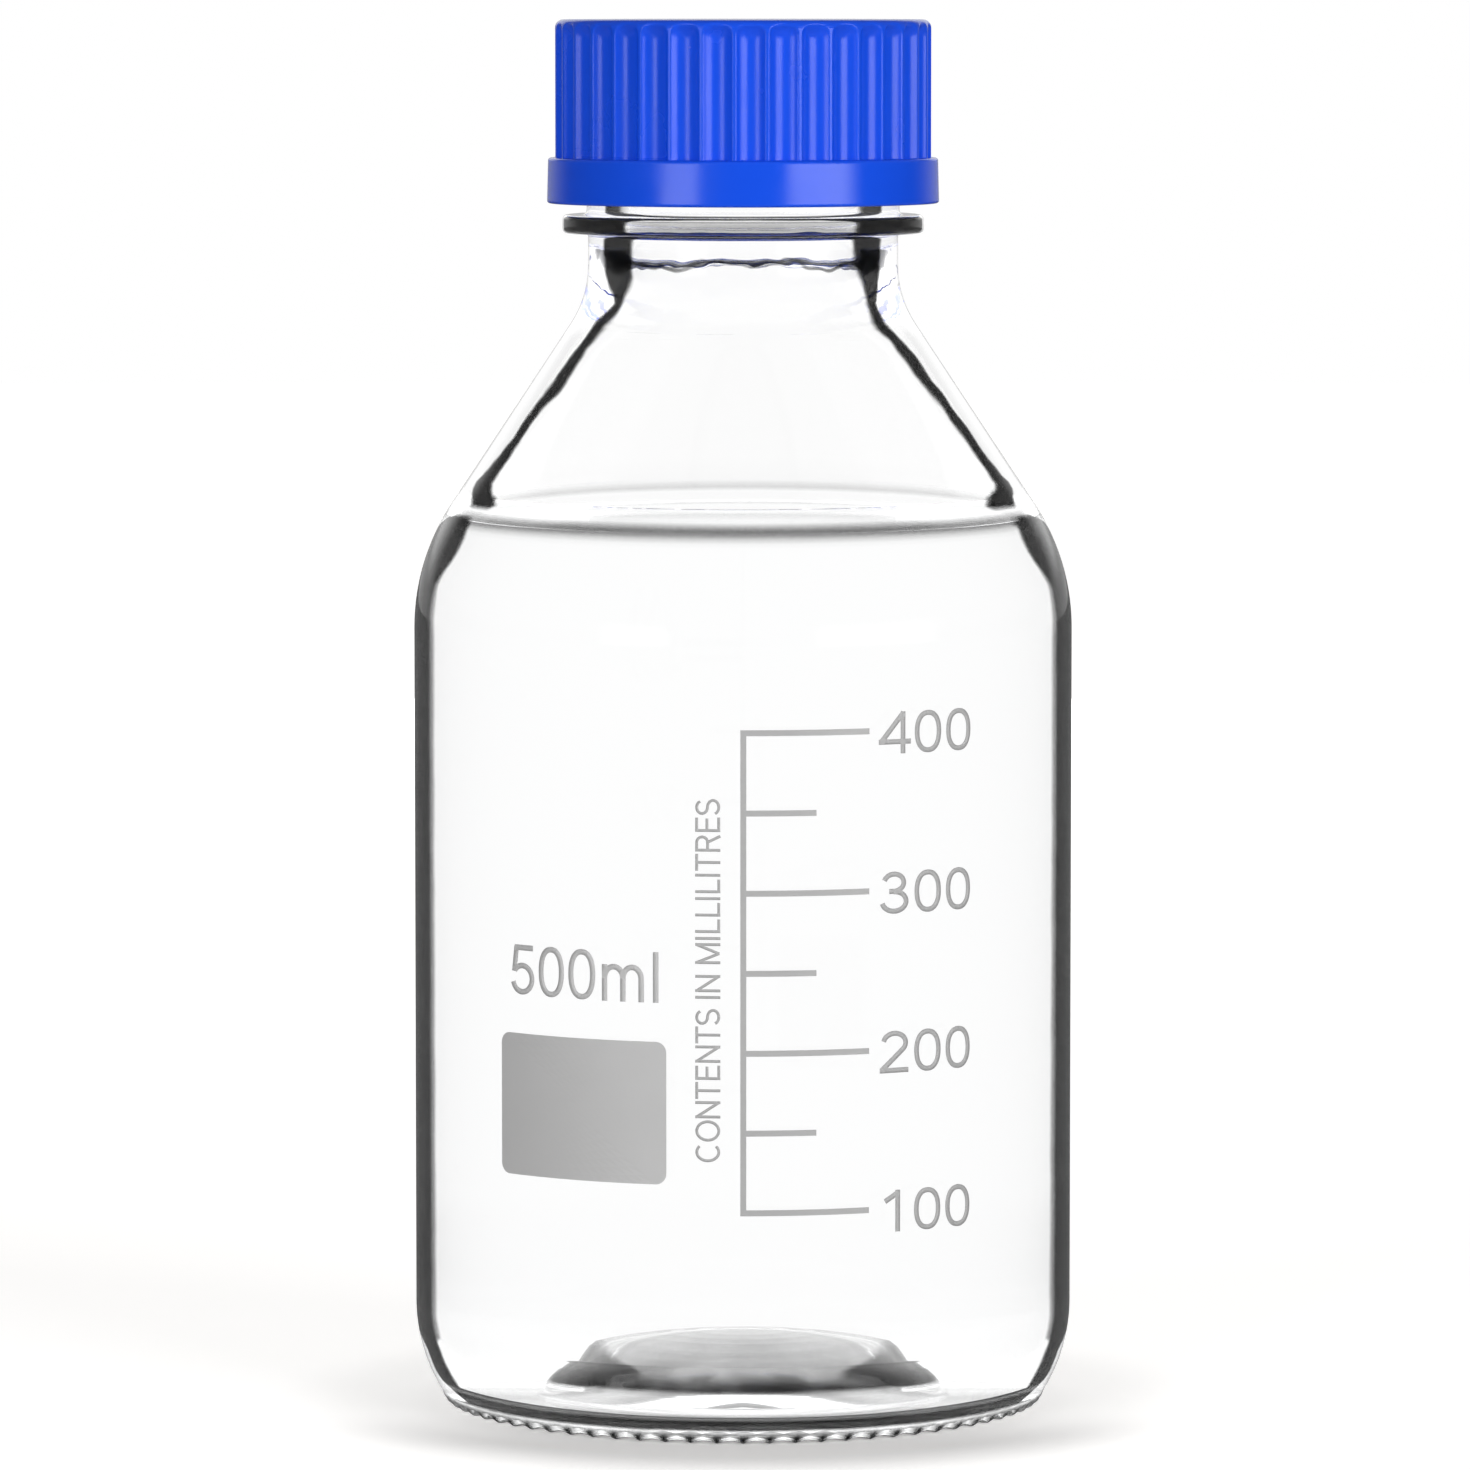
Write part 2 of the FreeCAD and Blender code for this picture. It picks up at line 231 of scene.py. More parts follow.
FLOOR_RADIUS, FLOOR_SIDES = 3.0, 96
corner_angles = np.linspace(0, math.tau, FLOOR_SIDES + 1)[:-1]
floor_mesh = bpy.data.meshes.new("floor")
floor_mesh.from_pydata([(FLOOR_RADIUS * math.cos(a), FLOOR_RADIUS * math.sin(a), 0) for a in corner_angles],
                       [], [list(range(FLOOR_SIDES))])
floor_mesh.materials.append(floor_material())
floor = bpy.data.objects.new("floor", floor_mesh)
bpy.context.scene.collection.objects.link(floor)
print("floor", round(floor.dimensions.x, 2), "m across")


# %% World
def front_patches(axes):
    """What gloss sees of the two front boxes: a soft patch low on each side, the right one stronger."""
    aside = abs(axes["X"])
    outer = fade(axes["X"], -0.1, 0.1, 0.80, 0.97)
    across = fade(aside, 0.40, 0.50) * fade(aside, outer, outer - 0.1)
    low = fade(axes["Z"], 0.16, 0.06) * fade(axes["Y"], -0.15, -0.35)
    return across * low * fade(axes["X"], -0.1, 0.1, 3.4, 4.2)


def studio_world():
    """White to the eye and through glass, softer for gloss and for plain light."""
    made = bpy.data.worlds.new("studio")
    made.use_nodes = True
    tree = made.node_tree
    tree.nodes.clear()
    path = outputs(node(tree, "ShaderNodeLightPath"))
    axes = split(output(tree, "ShaderNodeTexCoord", key="Generated"))
    through = fade(axes["Z"], 0.60, 0.95, 1.0, 0.5)
    level = fade(axes["Y"], 0.45, 0.9, 0.04, 1.0) * 0.42
    raised = fade(axes["Y"], 0.78, 0.93, 0.15, 0.95)
    gloss = blend(fade(axes["Z"], 0.02, 0.09), level, raised) + front_patches(axes)
    light = 0.09
    for seen, value in (("Is Glossy Ray", gloss), ("Is Transmission Ray", through), ("Is Camera Ray", 1.0)):
        light = blend(path[seen], light, value)
    node(tree, "ShaderNodeOutputWorld", output(tree, "ShaderNodeBackground", grey(1), light))
    return made


bpy.context.scene.world = studio_world()
print("world", bpy.context.scene.world.name)

# %% Soft boxes
BOX_AWAY, BOX_UP, BOX_TIP, BOX_TALL = 1.1, 0.32, 8, 1.0
BOXES = (("left", -36, 0.70, 7.6), ("right", 44, 0.70, 10.6), ("back", 180, 1.3, 8.5))


def soft_box(name, turn, width, power):
    """A large lamp at a turn from the front, aimed at the bottle, that only lights it."""
    lamp = bpy.data.lights.new(name, "AREA")
    lamp.shape = "RECTANGLE"
    lamp.size = width
    lamp.size_y = BOX_TALL
    lamp.energy = power
    made = bpy.data.objects.new(name, lamp)
    angle = math.radians(turn)
    made.location = (BOX_AWAY * math.sin(angle), -BOX_AWAY * math.cos(angle), BOX_UP)
    made.rotation_euler = (math.radians(90 - BOX_TIP), 0, angle)
    made.visible_camera = False
    made.visible_transmission = False
    made.visible_glossy = False
    bpy.context.scene.collection.objects.link(made)
    return made


for side, *values in BOXES:
    box = soft_box(f"soft_box_{side}", *values)
    print(box.name, [round(c, 2) for c in box.location])

# %% [markdown]
# ## Turning a section
# The bottle, its liquid, the ring, the liner and the cap are all turned shapes: one section drawn
# from the axis outwards, carried round in a circle. Blender has a Screw modifier for this, but a
# Geometry Nodes tree can also carry attributes round and add threads, flutes and beads by rule.
# The section is a row of points; the tree lays a grid with one row per point and one column per
# step of the turn, then moves each grid point to its place.

# %% Section points
SHORT_RUN, EDGE_GAP, USUAL_STEP = 1.3, 0.12, 4.0


def rounded(before, here, after, radius, turn):
    """Points on the arc that rounds a corner, at most a turn in degrees apart."""
    back = (before - here) / np.linalg.norm(before - here)
    ahead = (after - here) / np.linalg.norm(after - here)
    half = math.acos(np.clip(back @ ahead, -1, 1)) / 2
    middle = here + (back + ahead) / np.linalg.norm(back + ahead) * radius / math.sin(half)
    x, z = here + back * radius / math.tan(half) - middle
    sweep = math.copysign(math.pi - 2 * half, back[1] * ahead[0] - back[0] * ahead[1])
    angles = np.linspace(0, sweep, max(3, math.ceil(abs(math.degrees(sweep)) / turn)) + 1)
    return [middle + (x * math.cos(a) - z * math.sin(a), x * math.sin(a) + z * math.cos(a)) for a in angles]


def straight(start, end, step):
    """Points between two ends, with one close to each so that shading stays crisp."""
    length = np.linalg.norm(end - start)
    if length < SHORT_RUN:
        return []
    edge = min(EDGE_GAP, length / 5) / length
    inside = np.linspace(0, 1, max(2, math.ceil(length / step) + 1))[1:-1]
    return [start + (end - start) * t for t in [edge, *inside, 1 - edge]]


def section_points(corners, turn=14.0):
    """Points along a section. A corner is (radius, height, rounding, step after it, turn in degrees)."""
    places = np.array([corner[:2] for corner in corners], float)
    path = [[places[0]]]
    for before, here, after, corner in zip(places, places[1:], places[2:], corners[1:]):
        fine = corner[4] if len(corner) > 4 else turn
        path.append(rounded(before, here, after, corner[2], fine) if corner[2] else [here])
    path.append([places[-1]])
    points = list(path[0])
    for corner, following in zip(corners, path[1:]):
        points += straight(points[-1], following[0], corner[3] if len(corner) > 3 else USUAL_STEP)
        points += following
    return np.array(points)


print("a rounded corner has", len(section_points([(1, 0, 0), (5, 0, 1), (5, 4, 0)])), "points")

# %% Drawings that a tree can read
ROW_ATTRIBUTES = ("edge_shade", "feature")


def placed(name, mesh):
    """A mesh as an object in the scene."""
    made = bpy.data.objects.new(name, mesh)
    bpy.context.scene.collection.objects.link(made)
    return made


def drawing(name, points, edges=()):
    """Loose points and edges, in metres."""
    mesh = bpy.data.meshes.new(name)
    mesh.from_pydata(points, edges, [])
    return placed(name, mesh)


def section_object(points, **attributes):
    """A section's points at (radius, 0, height). Row attributes that aren't given are zero."""
    made = drawing("section", [(r * MM, 0, z * MM) for r, z in points])
    for key in ROW_ATTRIBUTES:
        values = attributes.get(key, np.zeros((len(points), 3)))
        layer = made.data.attributes.new(key, "FLOAT_VECTOR", "POINT")
        layer.data.foreach_set("vector", np.asarray(values, np.float32).ravel())
    return made


def new_tree(name, inputs):
    """An empty Geometry Nodes tree. Each named input has its usual number, or the kind of its socket."""
    tree = bpy.data.node_groups.new(name, "GeometryNodeTree")
    for key, value in inputs.items():
        kind = {int: "Int", float: "Float"}.get(type(value), value)
        socket = tree.interface.new_socket(key, in_out="INPUT", socket_type=f"NodeSocket{kind}")
        if kind != value:
            socket.default_value = value
    tree.interface.new_socket("Geometry", in_out="OUTPUT", socket_type="NodeSocketGeometry")
    return tree, outputs(tree.nodes.new("NodeGroupInput")), tree.nodes.new("NodeGroupOutput").inputs[0]


print("each row of a section carries", ROW_ATTRIBUTES)

# %% Steps that several trees share
MERGE = 2e-6


def position(tree):
    """The place of the point that a tree is working on."""
    return output(tree, "GeometryNodeInputPosition")


def named(tree, key):
    """A vector attribute, read by its name."""
    return output(tree, "GeometryNodeInputNamedAttribute", key, data_type="FLOAT_VECTOR", key="Attribute")


def stored(mesh, name, value, kind):
    """Keeps a value on every point of a mesh."""
    return output(mesh.tree, "GeometryNodeStoreNamedAttribute", data_type=kind, domain="POINT",
                  inputs={"Geometry": mesh, "Name": name, "Value": value})


def merged(mesh):
    """Points in one place made into one point."""
    return output(mesh.tree, "GeometryNodeMergeByDistance", mesh, inputs={"Distance": MERGE})


def group(shared, values):
    """A shared tree placed inside another one."""
    return output(tree_of(values.values()), "GeometryNodeGroup", node_tree=shared, inputs=values)


def finished(mesh, given, result):
    """Every tree ends the same way: real geometry with its material on it."""
    real = output(mesh.tree, "GeometryNodeRealizeInstances", mesh)
    feed(result, output(mesh.tree, "GeometryNodeSetMaterial", real, None, given["Material"]))
    return mesh.tree


print("points closer than", MERGE, "m are merged")


# %% The turning tree
def turning_tree():
    """Carries a section round the axis, with its attributes, and closes seam and poles."""
    tree, given, result = new_tree("turn_section", {"Section": "Object", "Segments": 64})
    section = output(tree, "GeometryNodeObjectInfo", given["Section"], key="Geometry")
    rows = output(tree, "GeometryNodeAttributeDomainSize", section, key="Point Count")
    columns = whole("ADD", given["Segments"], 1)
    mesh = output(tree, "GeometryNodeMeshGrid", 1.0, 1.0, rows, columns, key="Mesh")
    index = output(tree, "GeometryNodeInputIndex")
    row = whole("DIVIDE_FLOOR", index, columns)
    angle = whole("MODULO", index, columns) / given["Segments"] * math.tau

    def along(value):
        return output(tree, "GeometryNodeSampleIndex", section, value, row, data_type="FLOAT_VECTOR")

    place = split(along(position(tree)))
    for name in ROW_ATTRIBUTES:
        mesh = stored(mesh, name, along(named(tree, name)), "FLOAT_VECTOR")
    target = joined(place["X"] * calc("COSINE", angle), place["X"] * calc("SINE", angle), place["Z"])
    mesh = output(tree, "GeometryNodeSetPosition", mesh, None, target)
    mesh = output(tree, "GeometryNodeFlipFaces", mesh)
    feed(result, output(tree, "GeometryNodeSetShadeSmooth", merged(mesh)))
    return tree


TURNING = turning_tree()


def turned(given):
    """The shared turning tree, placed inside a piece's own tree."""
    return group(TURNING, {"Section": given["Section"], "Segments": given["Segments"]})


print(TURNING.name, len(TURNING.nodes), "nodes")


# %% Run a tree and keep its mesh
def grown(name, tree, values):
    """Runs a tree once, keeps the result as a plain mesh object, and removes what it was drawn from."""
    seed = drawing(name + "_seed", [])
    modifier = seed.modifiers.new("tree", "NODES")
    modifier.node_group = tree
    for item in tree.interface.items_tree:
        if item.in_out == "INPUT" and item.name in values:
            modifier[item.identifier] = values[item.name]
    graph = bpy.context.evaluated_depsgraph_get()
    mesh = bpy.data.meshes.new_from_object(
        seed.evaluated_get(graph), preserve_all_data_layers=True, depsgraph=graph
    )
    for used in [seed, *(values[key] for key in ("Section", "Paths") if key in values)]:
        bpy.data.objects.remove(used)
    mesh.name = name
    made = placed(name, mesh)
    triangles = sum(len(face.vertices) - 2 for face in mesh.polygons)
    size = [round(c / MM, 2) for c in made.dimensions]
    print(name, len(mesh.vertices), "points", triangles, "triangles", size)
    return made


print("pieces are grown one tree at a time")


# %% Around and along: the coordinates that every rule uses
def round_place(tree):
    """Radius, height and turns (0 to 1) of the point that a tree is working on."""
    place = split(position(tree))
    radius = calc("SQRT", place["X"] ** 2.0 + place["Y"] ** 2.0)
    turns = calc("FRACT", calc("ARCTAN2", place["Y"], place["X"]) / math.tau)
    return radius, place["Z"], turns


def pushed(mesh, radius, outwards, upwards):
    """Moves points away from the axis and along it."""
    tree = mesh.tree
    flat = output(tree, "ShaderNodeVectorMath", position(tree), (1, 1, 0), operation="MULTIPLY")
    share = outwards / calc("MAXIMUM", radius, 1e-5)
    aside = output(tree, "ShaderNodeVectorMath", flat, operation="SCALE", inputs={"Scale": share})
    lift = output(tree, "ShaderNodeCombineXYZ", 0.0, 0.0, upwards)
    offset = output(tree, "ShaderNodeVectorMath", aside, lift, operation="ADD")
    return output(tree, "GeometryNodeSetPosition", mesh, None, None, offset)


THREAD_RUN_OUT = 0.06


def thread_height(given, height, turns):
    """How much of a helical rib stands at each point, 0 to 1, with ends that run out."""
    past = (height - given["Thread low"]) / given["Pitch"] - turns
    lap = calc("ROUND", past)
    gone = turns + lap
    rib = fade(abs(past - lap) * given["Pitch"], given["Root"] / 2.0, given["Crest"] / 2.0)
    enter = fade(gone, 0.0, THREAD_RUN_OUT)
    leave = fade(gone, given["Turns"], given["Turns"] - THREAD_RUN_OUT)
    return rib * enter * leave


print("threads, flutes and beads are written with radius, height and turns")

# %% [markdown]
# ## Shared surface effects
# Moulded plastic, rubber and fired enamel all have a very fine orange peel, a few soft marks and a
# slow drift of colour, so one group gives a height and two masks for them. Each material places the
# group with its own values, and keeps its Principled shader outside it.


# %% Moulded skin group
def cloud(tree, scale, detail=2.0):
    """Soft noise in the piece's own coordinates."""
    return output(tree, "ShaderNodeTexNoise", noise_dimensions="3D", key="Fac",
                  inputs={"Vector": own_place(tree), "Scale": scale, "Detail": detail})


def moulded_skin():
    """A group: fine bump height, soft handling marks and slow colour drift, all 0 to 1."""
    skin = bpy.data.node_groups.new("moulded_skin", "ShaderNodeTree")
    for key, value in (("Grain size", 0.0004), ("Mark size", 0.012), ("Mark share", 0.3)):
        socket = skin.interface.new_socket(key, in_out="INPUT", socket_type="NodeSocketFloat")
        socket.default_value = value
    for key in ("Height", "Marks", "Drift"):
        skin.interface.new_socket(key, in_out="OUTPUT", socket_type="NodeSocketFloat")
    given = outputs(skin.nodes.new("NodeGroupInput"))
    large = cloud(skin, 1.0 / given["Mark size"], 4.0)
    fill(skin.nodes.new("NodeGroupOutput"), {
        "Height": cloud(skin, 1.0 / given["Grain size"]) + large * 0.5,
        "Marks": fade(large, 0.5, 0.72) * given["Mark share"],
        "Drift": cloud(skin, 1.0 / (given["Mark size"] * 2.5), 1.0)})
    return skin


MOULDED = moulded_skin()
print(MOULDED.name, len(MOULDED.nodes), "nodes")


# %% New materials
def new_finish(name, **constants):
    """A material whose plain values sit on the shader's own sockets."""
    made = bpy.data.materials.new(name)
    made.use_nodes = True
    shader = made.node_tree.nodes["Principled BSDF"]
    for key, value in constants.items():
        shader.inputs[key.replace("_", " ")].default_value = value
    return made, made.node_tree, shader


def skin_on(tree, **sizes):
    """The moulded skin with a material's own sizes."""
    named_sizes = {key.replace("_", " "): value for key, value in sizes.items()}
    return outputs(node(tree, "ShaderNodeGroup", node_tree=MOULDED, inputs=named_sizes))


def bumped(shader, height, strength, distance):
    """Gives a shader a bump."""
    values = {"Strength": strength, "Distance": distance, "Height": height}
    feed(shader.inputs["Normal"], output(height.tree, "ShaderNodeBump", inputs=values))


SATIN_EDGE, SATIN_MORE = 0.0004, 0.07


def moulded_finish(name, colour, deep, roughness, grain, strength, satin=None, **constants):
    """Moulded plastic or rubber: drifting colour, soft marks, a fine peel and perhaps a satin band."""
    made, tree, shader = new_finish(name, **constants)
    skin = skin_on(tree, Grain_size=grain)
    rough = skin["Marks"] * 0.2 + roughness
    if satin:
        low, high = satin
        height = split(own_place(tree))["Z"]
        enter = fade(height, low, low + SATIN_EDGE)
        rough = rough + enter * fade(height, high, high - SATIN_EDGE, 0.0, SATIN_MORE)
    fill(shader, {"Base Color": blend_colours(skin["Drift"], deep, colour), "Roughness": rough})
    bumped(shader, skin["Height"], strength, 0.00003)
    return made


CAP_BLUE = moulded_finish("cap_plastic", (0.0076, 0.084, 0.81, 1), (0.0064, 0.075, 0.76, 1),
                          0.17, 0.0004, 0.12, satin=(0.1631, 0.1800), IOR=1.49)
RING_PALE = moulded_finish("ring_plastic", (0.60, 0.62, 0.62, 1), (0.54, 0.56, 0.56, 1),
                           0.28, 0.0005, 0.3, IOR=1.49)
LINER_WHITE = moulded_finish("liner_silicone", (0.72, 0.73, 0.71, 1), (0.64, 0.65, 0.63, 1),
                             0.55, 0.0007, 0.5, IOR=1.42)
print([m.name for m in (CAP_BLUE, RING_PALE, LINER_WHITE)])

# %% [markdown]
# ## Clear glass
# Borosilicate glass is nearly colourless, and its edges read as dark because a steep wall bends the
# dark sides of a studio into view. A room dark on two sides would give that from one side only, so
# that darkening is painted shade tied to the angle at which the wall is met instead: Layer Weight
# drives the base colour, and each row of the section says between which angles it darkens, how much,
# and whether the ray comes from the air or from within the glass. Smaller rules of painted shade are
# added to it: a wavy dark line in the neck, a mottled darkening on the pushed-up base, a dark spot on
# each small foot, and a little less light for rays that were mirrored inside the base. The neck's
# slight waviness comes from a bump.

# %% Rules of the glass
NECK_SHADE_LINE, LINE_WOBBLE, SHADE_MOTTLE_TOP = 149.5, 7.0, 50.0


def attribute(tree, name, key):
    """An attribute of the mesh, as a shader reads it."""
    return output(tree, "ShaderNodeAttribute", attribute_name=name, key=key)


def edge_share(steep, amount, within):
    """How dark the section's rows make a wall that is met at an angle."""
    start, end, depth = split(attribute(steep.tree, "edge_shade", "Vector")).values()
    blur = fade(start, -1.0, 0.0, 0.035, 0.02) + amount * 0.12
    wider = end + fade(start, -1.0, 0.0, 0.035, 0.012)
    rises = fade(steep, start - blur, start)
    falls = fade(steep, end + blur, end) * 0.45 + fade(steep, wider + blur, wider) * 0.55
    from_air = calc("MAXIMUM", depth, 0.0) * (1.0 - within)
    from_glass = calc("MINIMUM", depth, 0.0) * -within
    return (from_air + from_glass) * rises * falls


def painted_line_and_mottle(steep, noise, within):
    """Painted shade: a wavy dark line seen from within the neck, and a mottled darkening over the base."""
    place = split(own_place(steep.tree))
    height = place["Z"] + (noise - 0.5) * (LINE_WOBBLE * MM)
    strong = fade(abs(place["X"]), 0.003, 0.010, 0.26, 0.55)
    line = within * strong * fade(abs(height - NECK_SHADE_LINE * MM), 0.0004, 0.0001)
    painted_mottle = fade(noise, 0.3, 0.7, 0.13, 0.20) * fade(steep, 0.06, 0.42, 0.25, 1.0)
    return blend(calc("LESS_THAN", height, SHADE_MOTTLE_TOP * MM), line, (1.0 - within) * painted_mottle)


def mirrored_share(path, height):
    """A little darkness for rays that were mirrored inside the base."""
    return calc("GREATER_THAN", path["Glossy Depth"], 0.5) * fade(height, 0.018, 0.012, 0.0, 0.08)


def painted_deep_glow(path, height):
    """Painted light: where a ray has bounced to its limit inside clear material, the surface glows white,
    standing in for the white room instead of black.
    """
    often = calc("GREATER_THAN", path["Glossy Depth"], 3.5)
    long = calc("GREATER_THAN", path["Ray Depth"], 10.5)
    share = calc("MAXIMUM", often, long) * fade(height, 0.010, 0.016, 0.4, 0.7)
    return blend_colours(share, grey(0), grey(1))


print("each rule gives a share of darkness, or of light")

# %% Glass and liquid
GLASS_IOR, WATER_IOR = 1.47, 1.333
RIPPLE_SCALE, RIPPLE_TILT, RIPPLE_DEPTH, RIPPLE_FROM = 140.0, 0.9, 0.0004, 0.15
FOOT_SHADE_SHARE, MOST_SHARE, SHARE_POWER = 0.92, 0.95, 4.0


def clear_finish(name, **constants):
    """A clear material with what its rules need: its light path and its height."""
    made, tree, shader = new_finish(name, Roughness=0.0, Metallic=0.0, Transmission_Weight=1.0,
                                    Emission_Strength=1.0, **constants)
    made.cycles.emission_sampling = "NONE"
    path = outputs(node(tree, "ShaderNodeLightPath"))
    height = split(own_place(tree))["Z"]
    # Painted light: the emission colour glows white for deep rays.
    feed(shader.inputs["Emission Color"], painted_deep_glow(path, height))
    return made, tree, shader, path, height


def glass_finish():
    """Colourless glass whose steep edges darken as the section's rows say."""
    made, tree, shader, path, height = clear_finish("clear_glass", IOR=GLASS_IOR, Specular_Tint=grey(0.3))
    shade_veil_rows, _, amount = split(attribute(tree, "feature", "Vector")).values()
    noise = cloud(tree, RIPPLE_SCALE)
    ripple = (noise - 0.5) * amount
    steep = 1.0 - output(tree, "ShaderNodeLayerWeight", 0.5, key="Facing") + ripple * RIPPLE_TILT
    within = output(tree, "ShaderNodeNewGeometry", key="Backfacing")
    # Painted shade: a dark spot on each small foot, where it is seen from the air.
    spot = attribute(tree, "bead_spot", "Fac") * (1.0 - within) * FOOT_SHADE_SHARE
    # Painted shade: the wavy dark line in the neck and the mottled darkening of the base, on the rows that
    # ask for them.
    painted_veil_shade = calc("MAXIMUM", -shade_veil_rows, 0.0) * painted_line_and_mottle(steep, noise, within)
    share = calc("MAXIMUM", edge_share(steep, amount, within) + painted_veil_shade, spot) + mirrored_share(path, height)
    clear = (1.0 - calc("MINIMUM", share, MOST_SHARE)) ** SHARE_POWER
    feed(shader.inputs["Base Color"], blend_colours(clear, grey(0), (0.9995, 1.0, 0.9998, 1)))
    bumped(shader, ripple * calc("GREATER_THAN", amount, RIPPLE_FROM), 1.0, RIPPLE_DEPTH)
    return made


def liquid_finish():
    """Clear water with the faintest drift, so that it isn't one flat tone."""
    made, tree, shader, *_ = clear_finish("clear_liquid", IOR=WATER_IOR, Specular_Tint=grey(0))
    tone = blend_colours(cloud(tree, 30.0), (0.9985, 0.9995, 1.0, 1), (0.9965, 0.9985, 0.9995, 1))
    feed(shader.inputs["Base Color"], tone)
    return made


GLASS, LIQUID = glass_finish(), liquid_finish()
print(GLASS.name, LIQUID.name)

# %% [markdown]
# ## The glass bottle
# The section runs from the middle of the pushed-up base, round the foot and heel, up the wall, over
# the lip and down the inside to the floor. Two rules are added while it turns: the helical thread on
# the neck, and the row of small feet moulded under the rim of the base, on which the bottle stands.

# %% Bottle profile
BODY, BORE, NECK = 43.0, 15.0, 20.2
WALL, SHOULDER_WALL = 3.2, 2.1
SLOPE = math.tan(math.radians(33.57))
CONE_RADIUS, CONE_HEIGHT = 23.96, 139.2
SWEEP, SWEEP_START, SWEEP_TOP = 14.0, 141.4, 149.12
THICKER_FROM, THICKER_RUN = 138.0, 19.0


def cone(height):
    """Outside radius of the shoulder's cone at a height."""
    return CONE_RADIUS + SLOPE * (CONE_HEIGHT - height)


def height_at(radius):
    """Height at which that cone has a radius."""
    return CONE_HEIGHT - (radius - CONE_RADIUS) / SLOPE


def neck_outside(height):
    """Outside radius where the cone sweeps into the neck."""
    if height < SWEEP_START:
        return cone(height)
    if height >= SWEEP_TOP:
        return NECK
    return NECK + SWEEP - math.sqrt(SWEEP ** 2 - (SWEEP_TOP - height) ** 2)


def neck_wall(height):
    """Wall thickness across the radius, from the shoulder up into the neck."""
    share = np.clip((height - THICKER_FROM) / THICKER_RUN, 0.0, 1.0)
    return SHOULDER_WALL + (NECK - BORE - SHOULDER_WALL) * share * share * (3 - 2 * share)


print("shoulder from", round(height_at(BODY), 1), "to", round(height_at(NECK), 1), "mm")

# %% Bottle section, outside and inside
outside = [
    (0, 5.6, 0, 1.2), (1.5, 5.6, 0, 3.0), (11.5, 5.2, 6.0, 4.0, 8.0), (18.0, 1.6, 4.0, 4.0, 8.0),
    (33.0, 0.35, 1.2, 2.0), (35.8, 0.35, 0, 0.55), (38.9, 0.35, 1.3, 0.4, 10.0),
    (BODY, 6.6, 22.0, 8.0, 1.45), (BODY, height_at(BODY), 29.2, 1.1, 1.3), (cone(123.0), 123.0, 0, 2.5),
    (NECK, height_at(NECK), SWEEP, 2.0, 5.0), (NECK, 153.2, 0.5, 1.2, 25.0), (23.55, 153.2, 0.6, 0.7, 23.0),
    (23.55, 155.6, 0.6, 1.2, 23.0), (20.4, 155.6, 0.6, 0.68, 25.0), (20.4, 170.6, 0), (19.2, 171.2, 0),
    (19.2, 172.7, 0), (19.7, 173.3, 0), (19.7, 176.0, 1.0, 4.0, 30.0),
]
neck_heights = [157.0, 156.0, *np.arange(155.0, 153.2, -0.2), *np.arange(153.0, 137.0, -1.0)]
inside = [
    (BORE, 176.0, 1.0, 4.0, 30.0), *[(neck_outside(z) - neck_wall(z), z, 0) for z in neck_heights],
    (BODY - WALL, height_at(BODY - WALL + SHOULDER_WALL), 26.0, 8.0, 1.3),
    (BODY - WALL, 3.2, 7.0, 4.0, 8.0),
]
DOME, DOME_LOW, DOME_RISE = 19.4, 4.2, 6.4
dome_angles = np.radians([*range(90, 38, -5), *range(38, 4, -8), 4, 0])
dome = [(20.4, 3.2, 0.8, 0.3)]
dome += [(DOME * math.sin(a), DOME_LOW + DOME_RISE * math.cos(a), 0) for a in dome_angles]
glass_points = section_points(outside + inside + dome, turn=20.0)
lip_row = int(np.argmax(glass_points[:, 1]))
print(len(glass_points), "rows, lip at row", lip_row)

# %% Angles at which the rows darken
LEVEL, RIM = 115.8, 116.0
OUTER_WALL = [
    (0.5, -1, 0.24, 0.6), (1.2, -1, 0.24, 0.6), (1.4, -1, 0.24, 0.0), (1.6, 0.30, 2, 0.0),
    (1.9, 0.29, 2, 0.85), (2.3, 0.27, 2, 0.68), (2.9, 0.25, 2, 0.90), (3.4, 0.23, 2, 0.6),
    (3.6, 0.21, 0.6, 0.4), (3.9, 0.19, 0.28, 0.8), (4.8, 0.16, 0.28, 0.8), (8.0, 0.155, 0.28, 0.8),
    (9.5, 0.06, 0.28, 0.8), (10.5, -1, 0.28, 0.8), (104.0, -1, 0.28, 0.8), (108.0, -0.6, 0.29, 0.8),
    (111.2, -0.1, 0.365, 0.8), (112.7, 0.0, 0.38, 0.8), (114.3, 0.03, 0.38, 0.8),
    (115.5, 0.08, 0.37, 0.8), (116.9, 0.26, 0.335, 0.84), (117.3, 0.29, 0.34, 0.0),
    (118.1, 0.35, 0.44, 0.0), (118.5, 0.345, 0.45, 0.88), (118.9, 0.335, 0.44, 0.88),
    (119.8, 0.297, 0.42, 0.88), (120.9, 0.24, 0.345, 0.88), (122.0, 0.29, 0.35, 0.88),
    (127.7, 0.325, 0.36, 0.88), (134.0, 0.38, 0.42, 0.86), (138.0, 0.42, 0.465, 0.84),
    (142.4, 0.50, 0.54, 0.86), (144.4, 0.585, 0.61, 0.82), (145.8, 0.55, 0.63, 0.82),
    (147.4, 0.50, 0.66, 0.8), (148.4, 0.49, 0.655, 0.8), (150.7, 0.48, 0.67, 0.8),
    (153.0, 0.49, 0.67, 0.8), (153.3, 0.17, 0.73, 0.5), (153.7, 0.17, 0.73, 0.87),
    (155.4, 0.17, 0.73, 0.87), (155.8, 0.50, 0.64, 0.72), (176.0, 0.50, 0.64, 0.72),
]
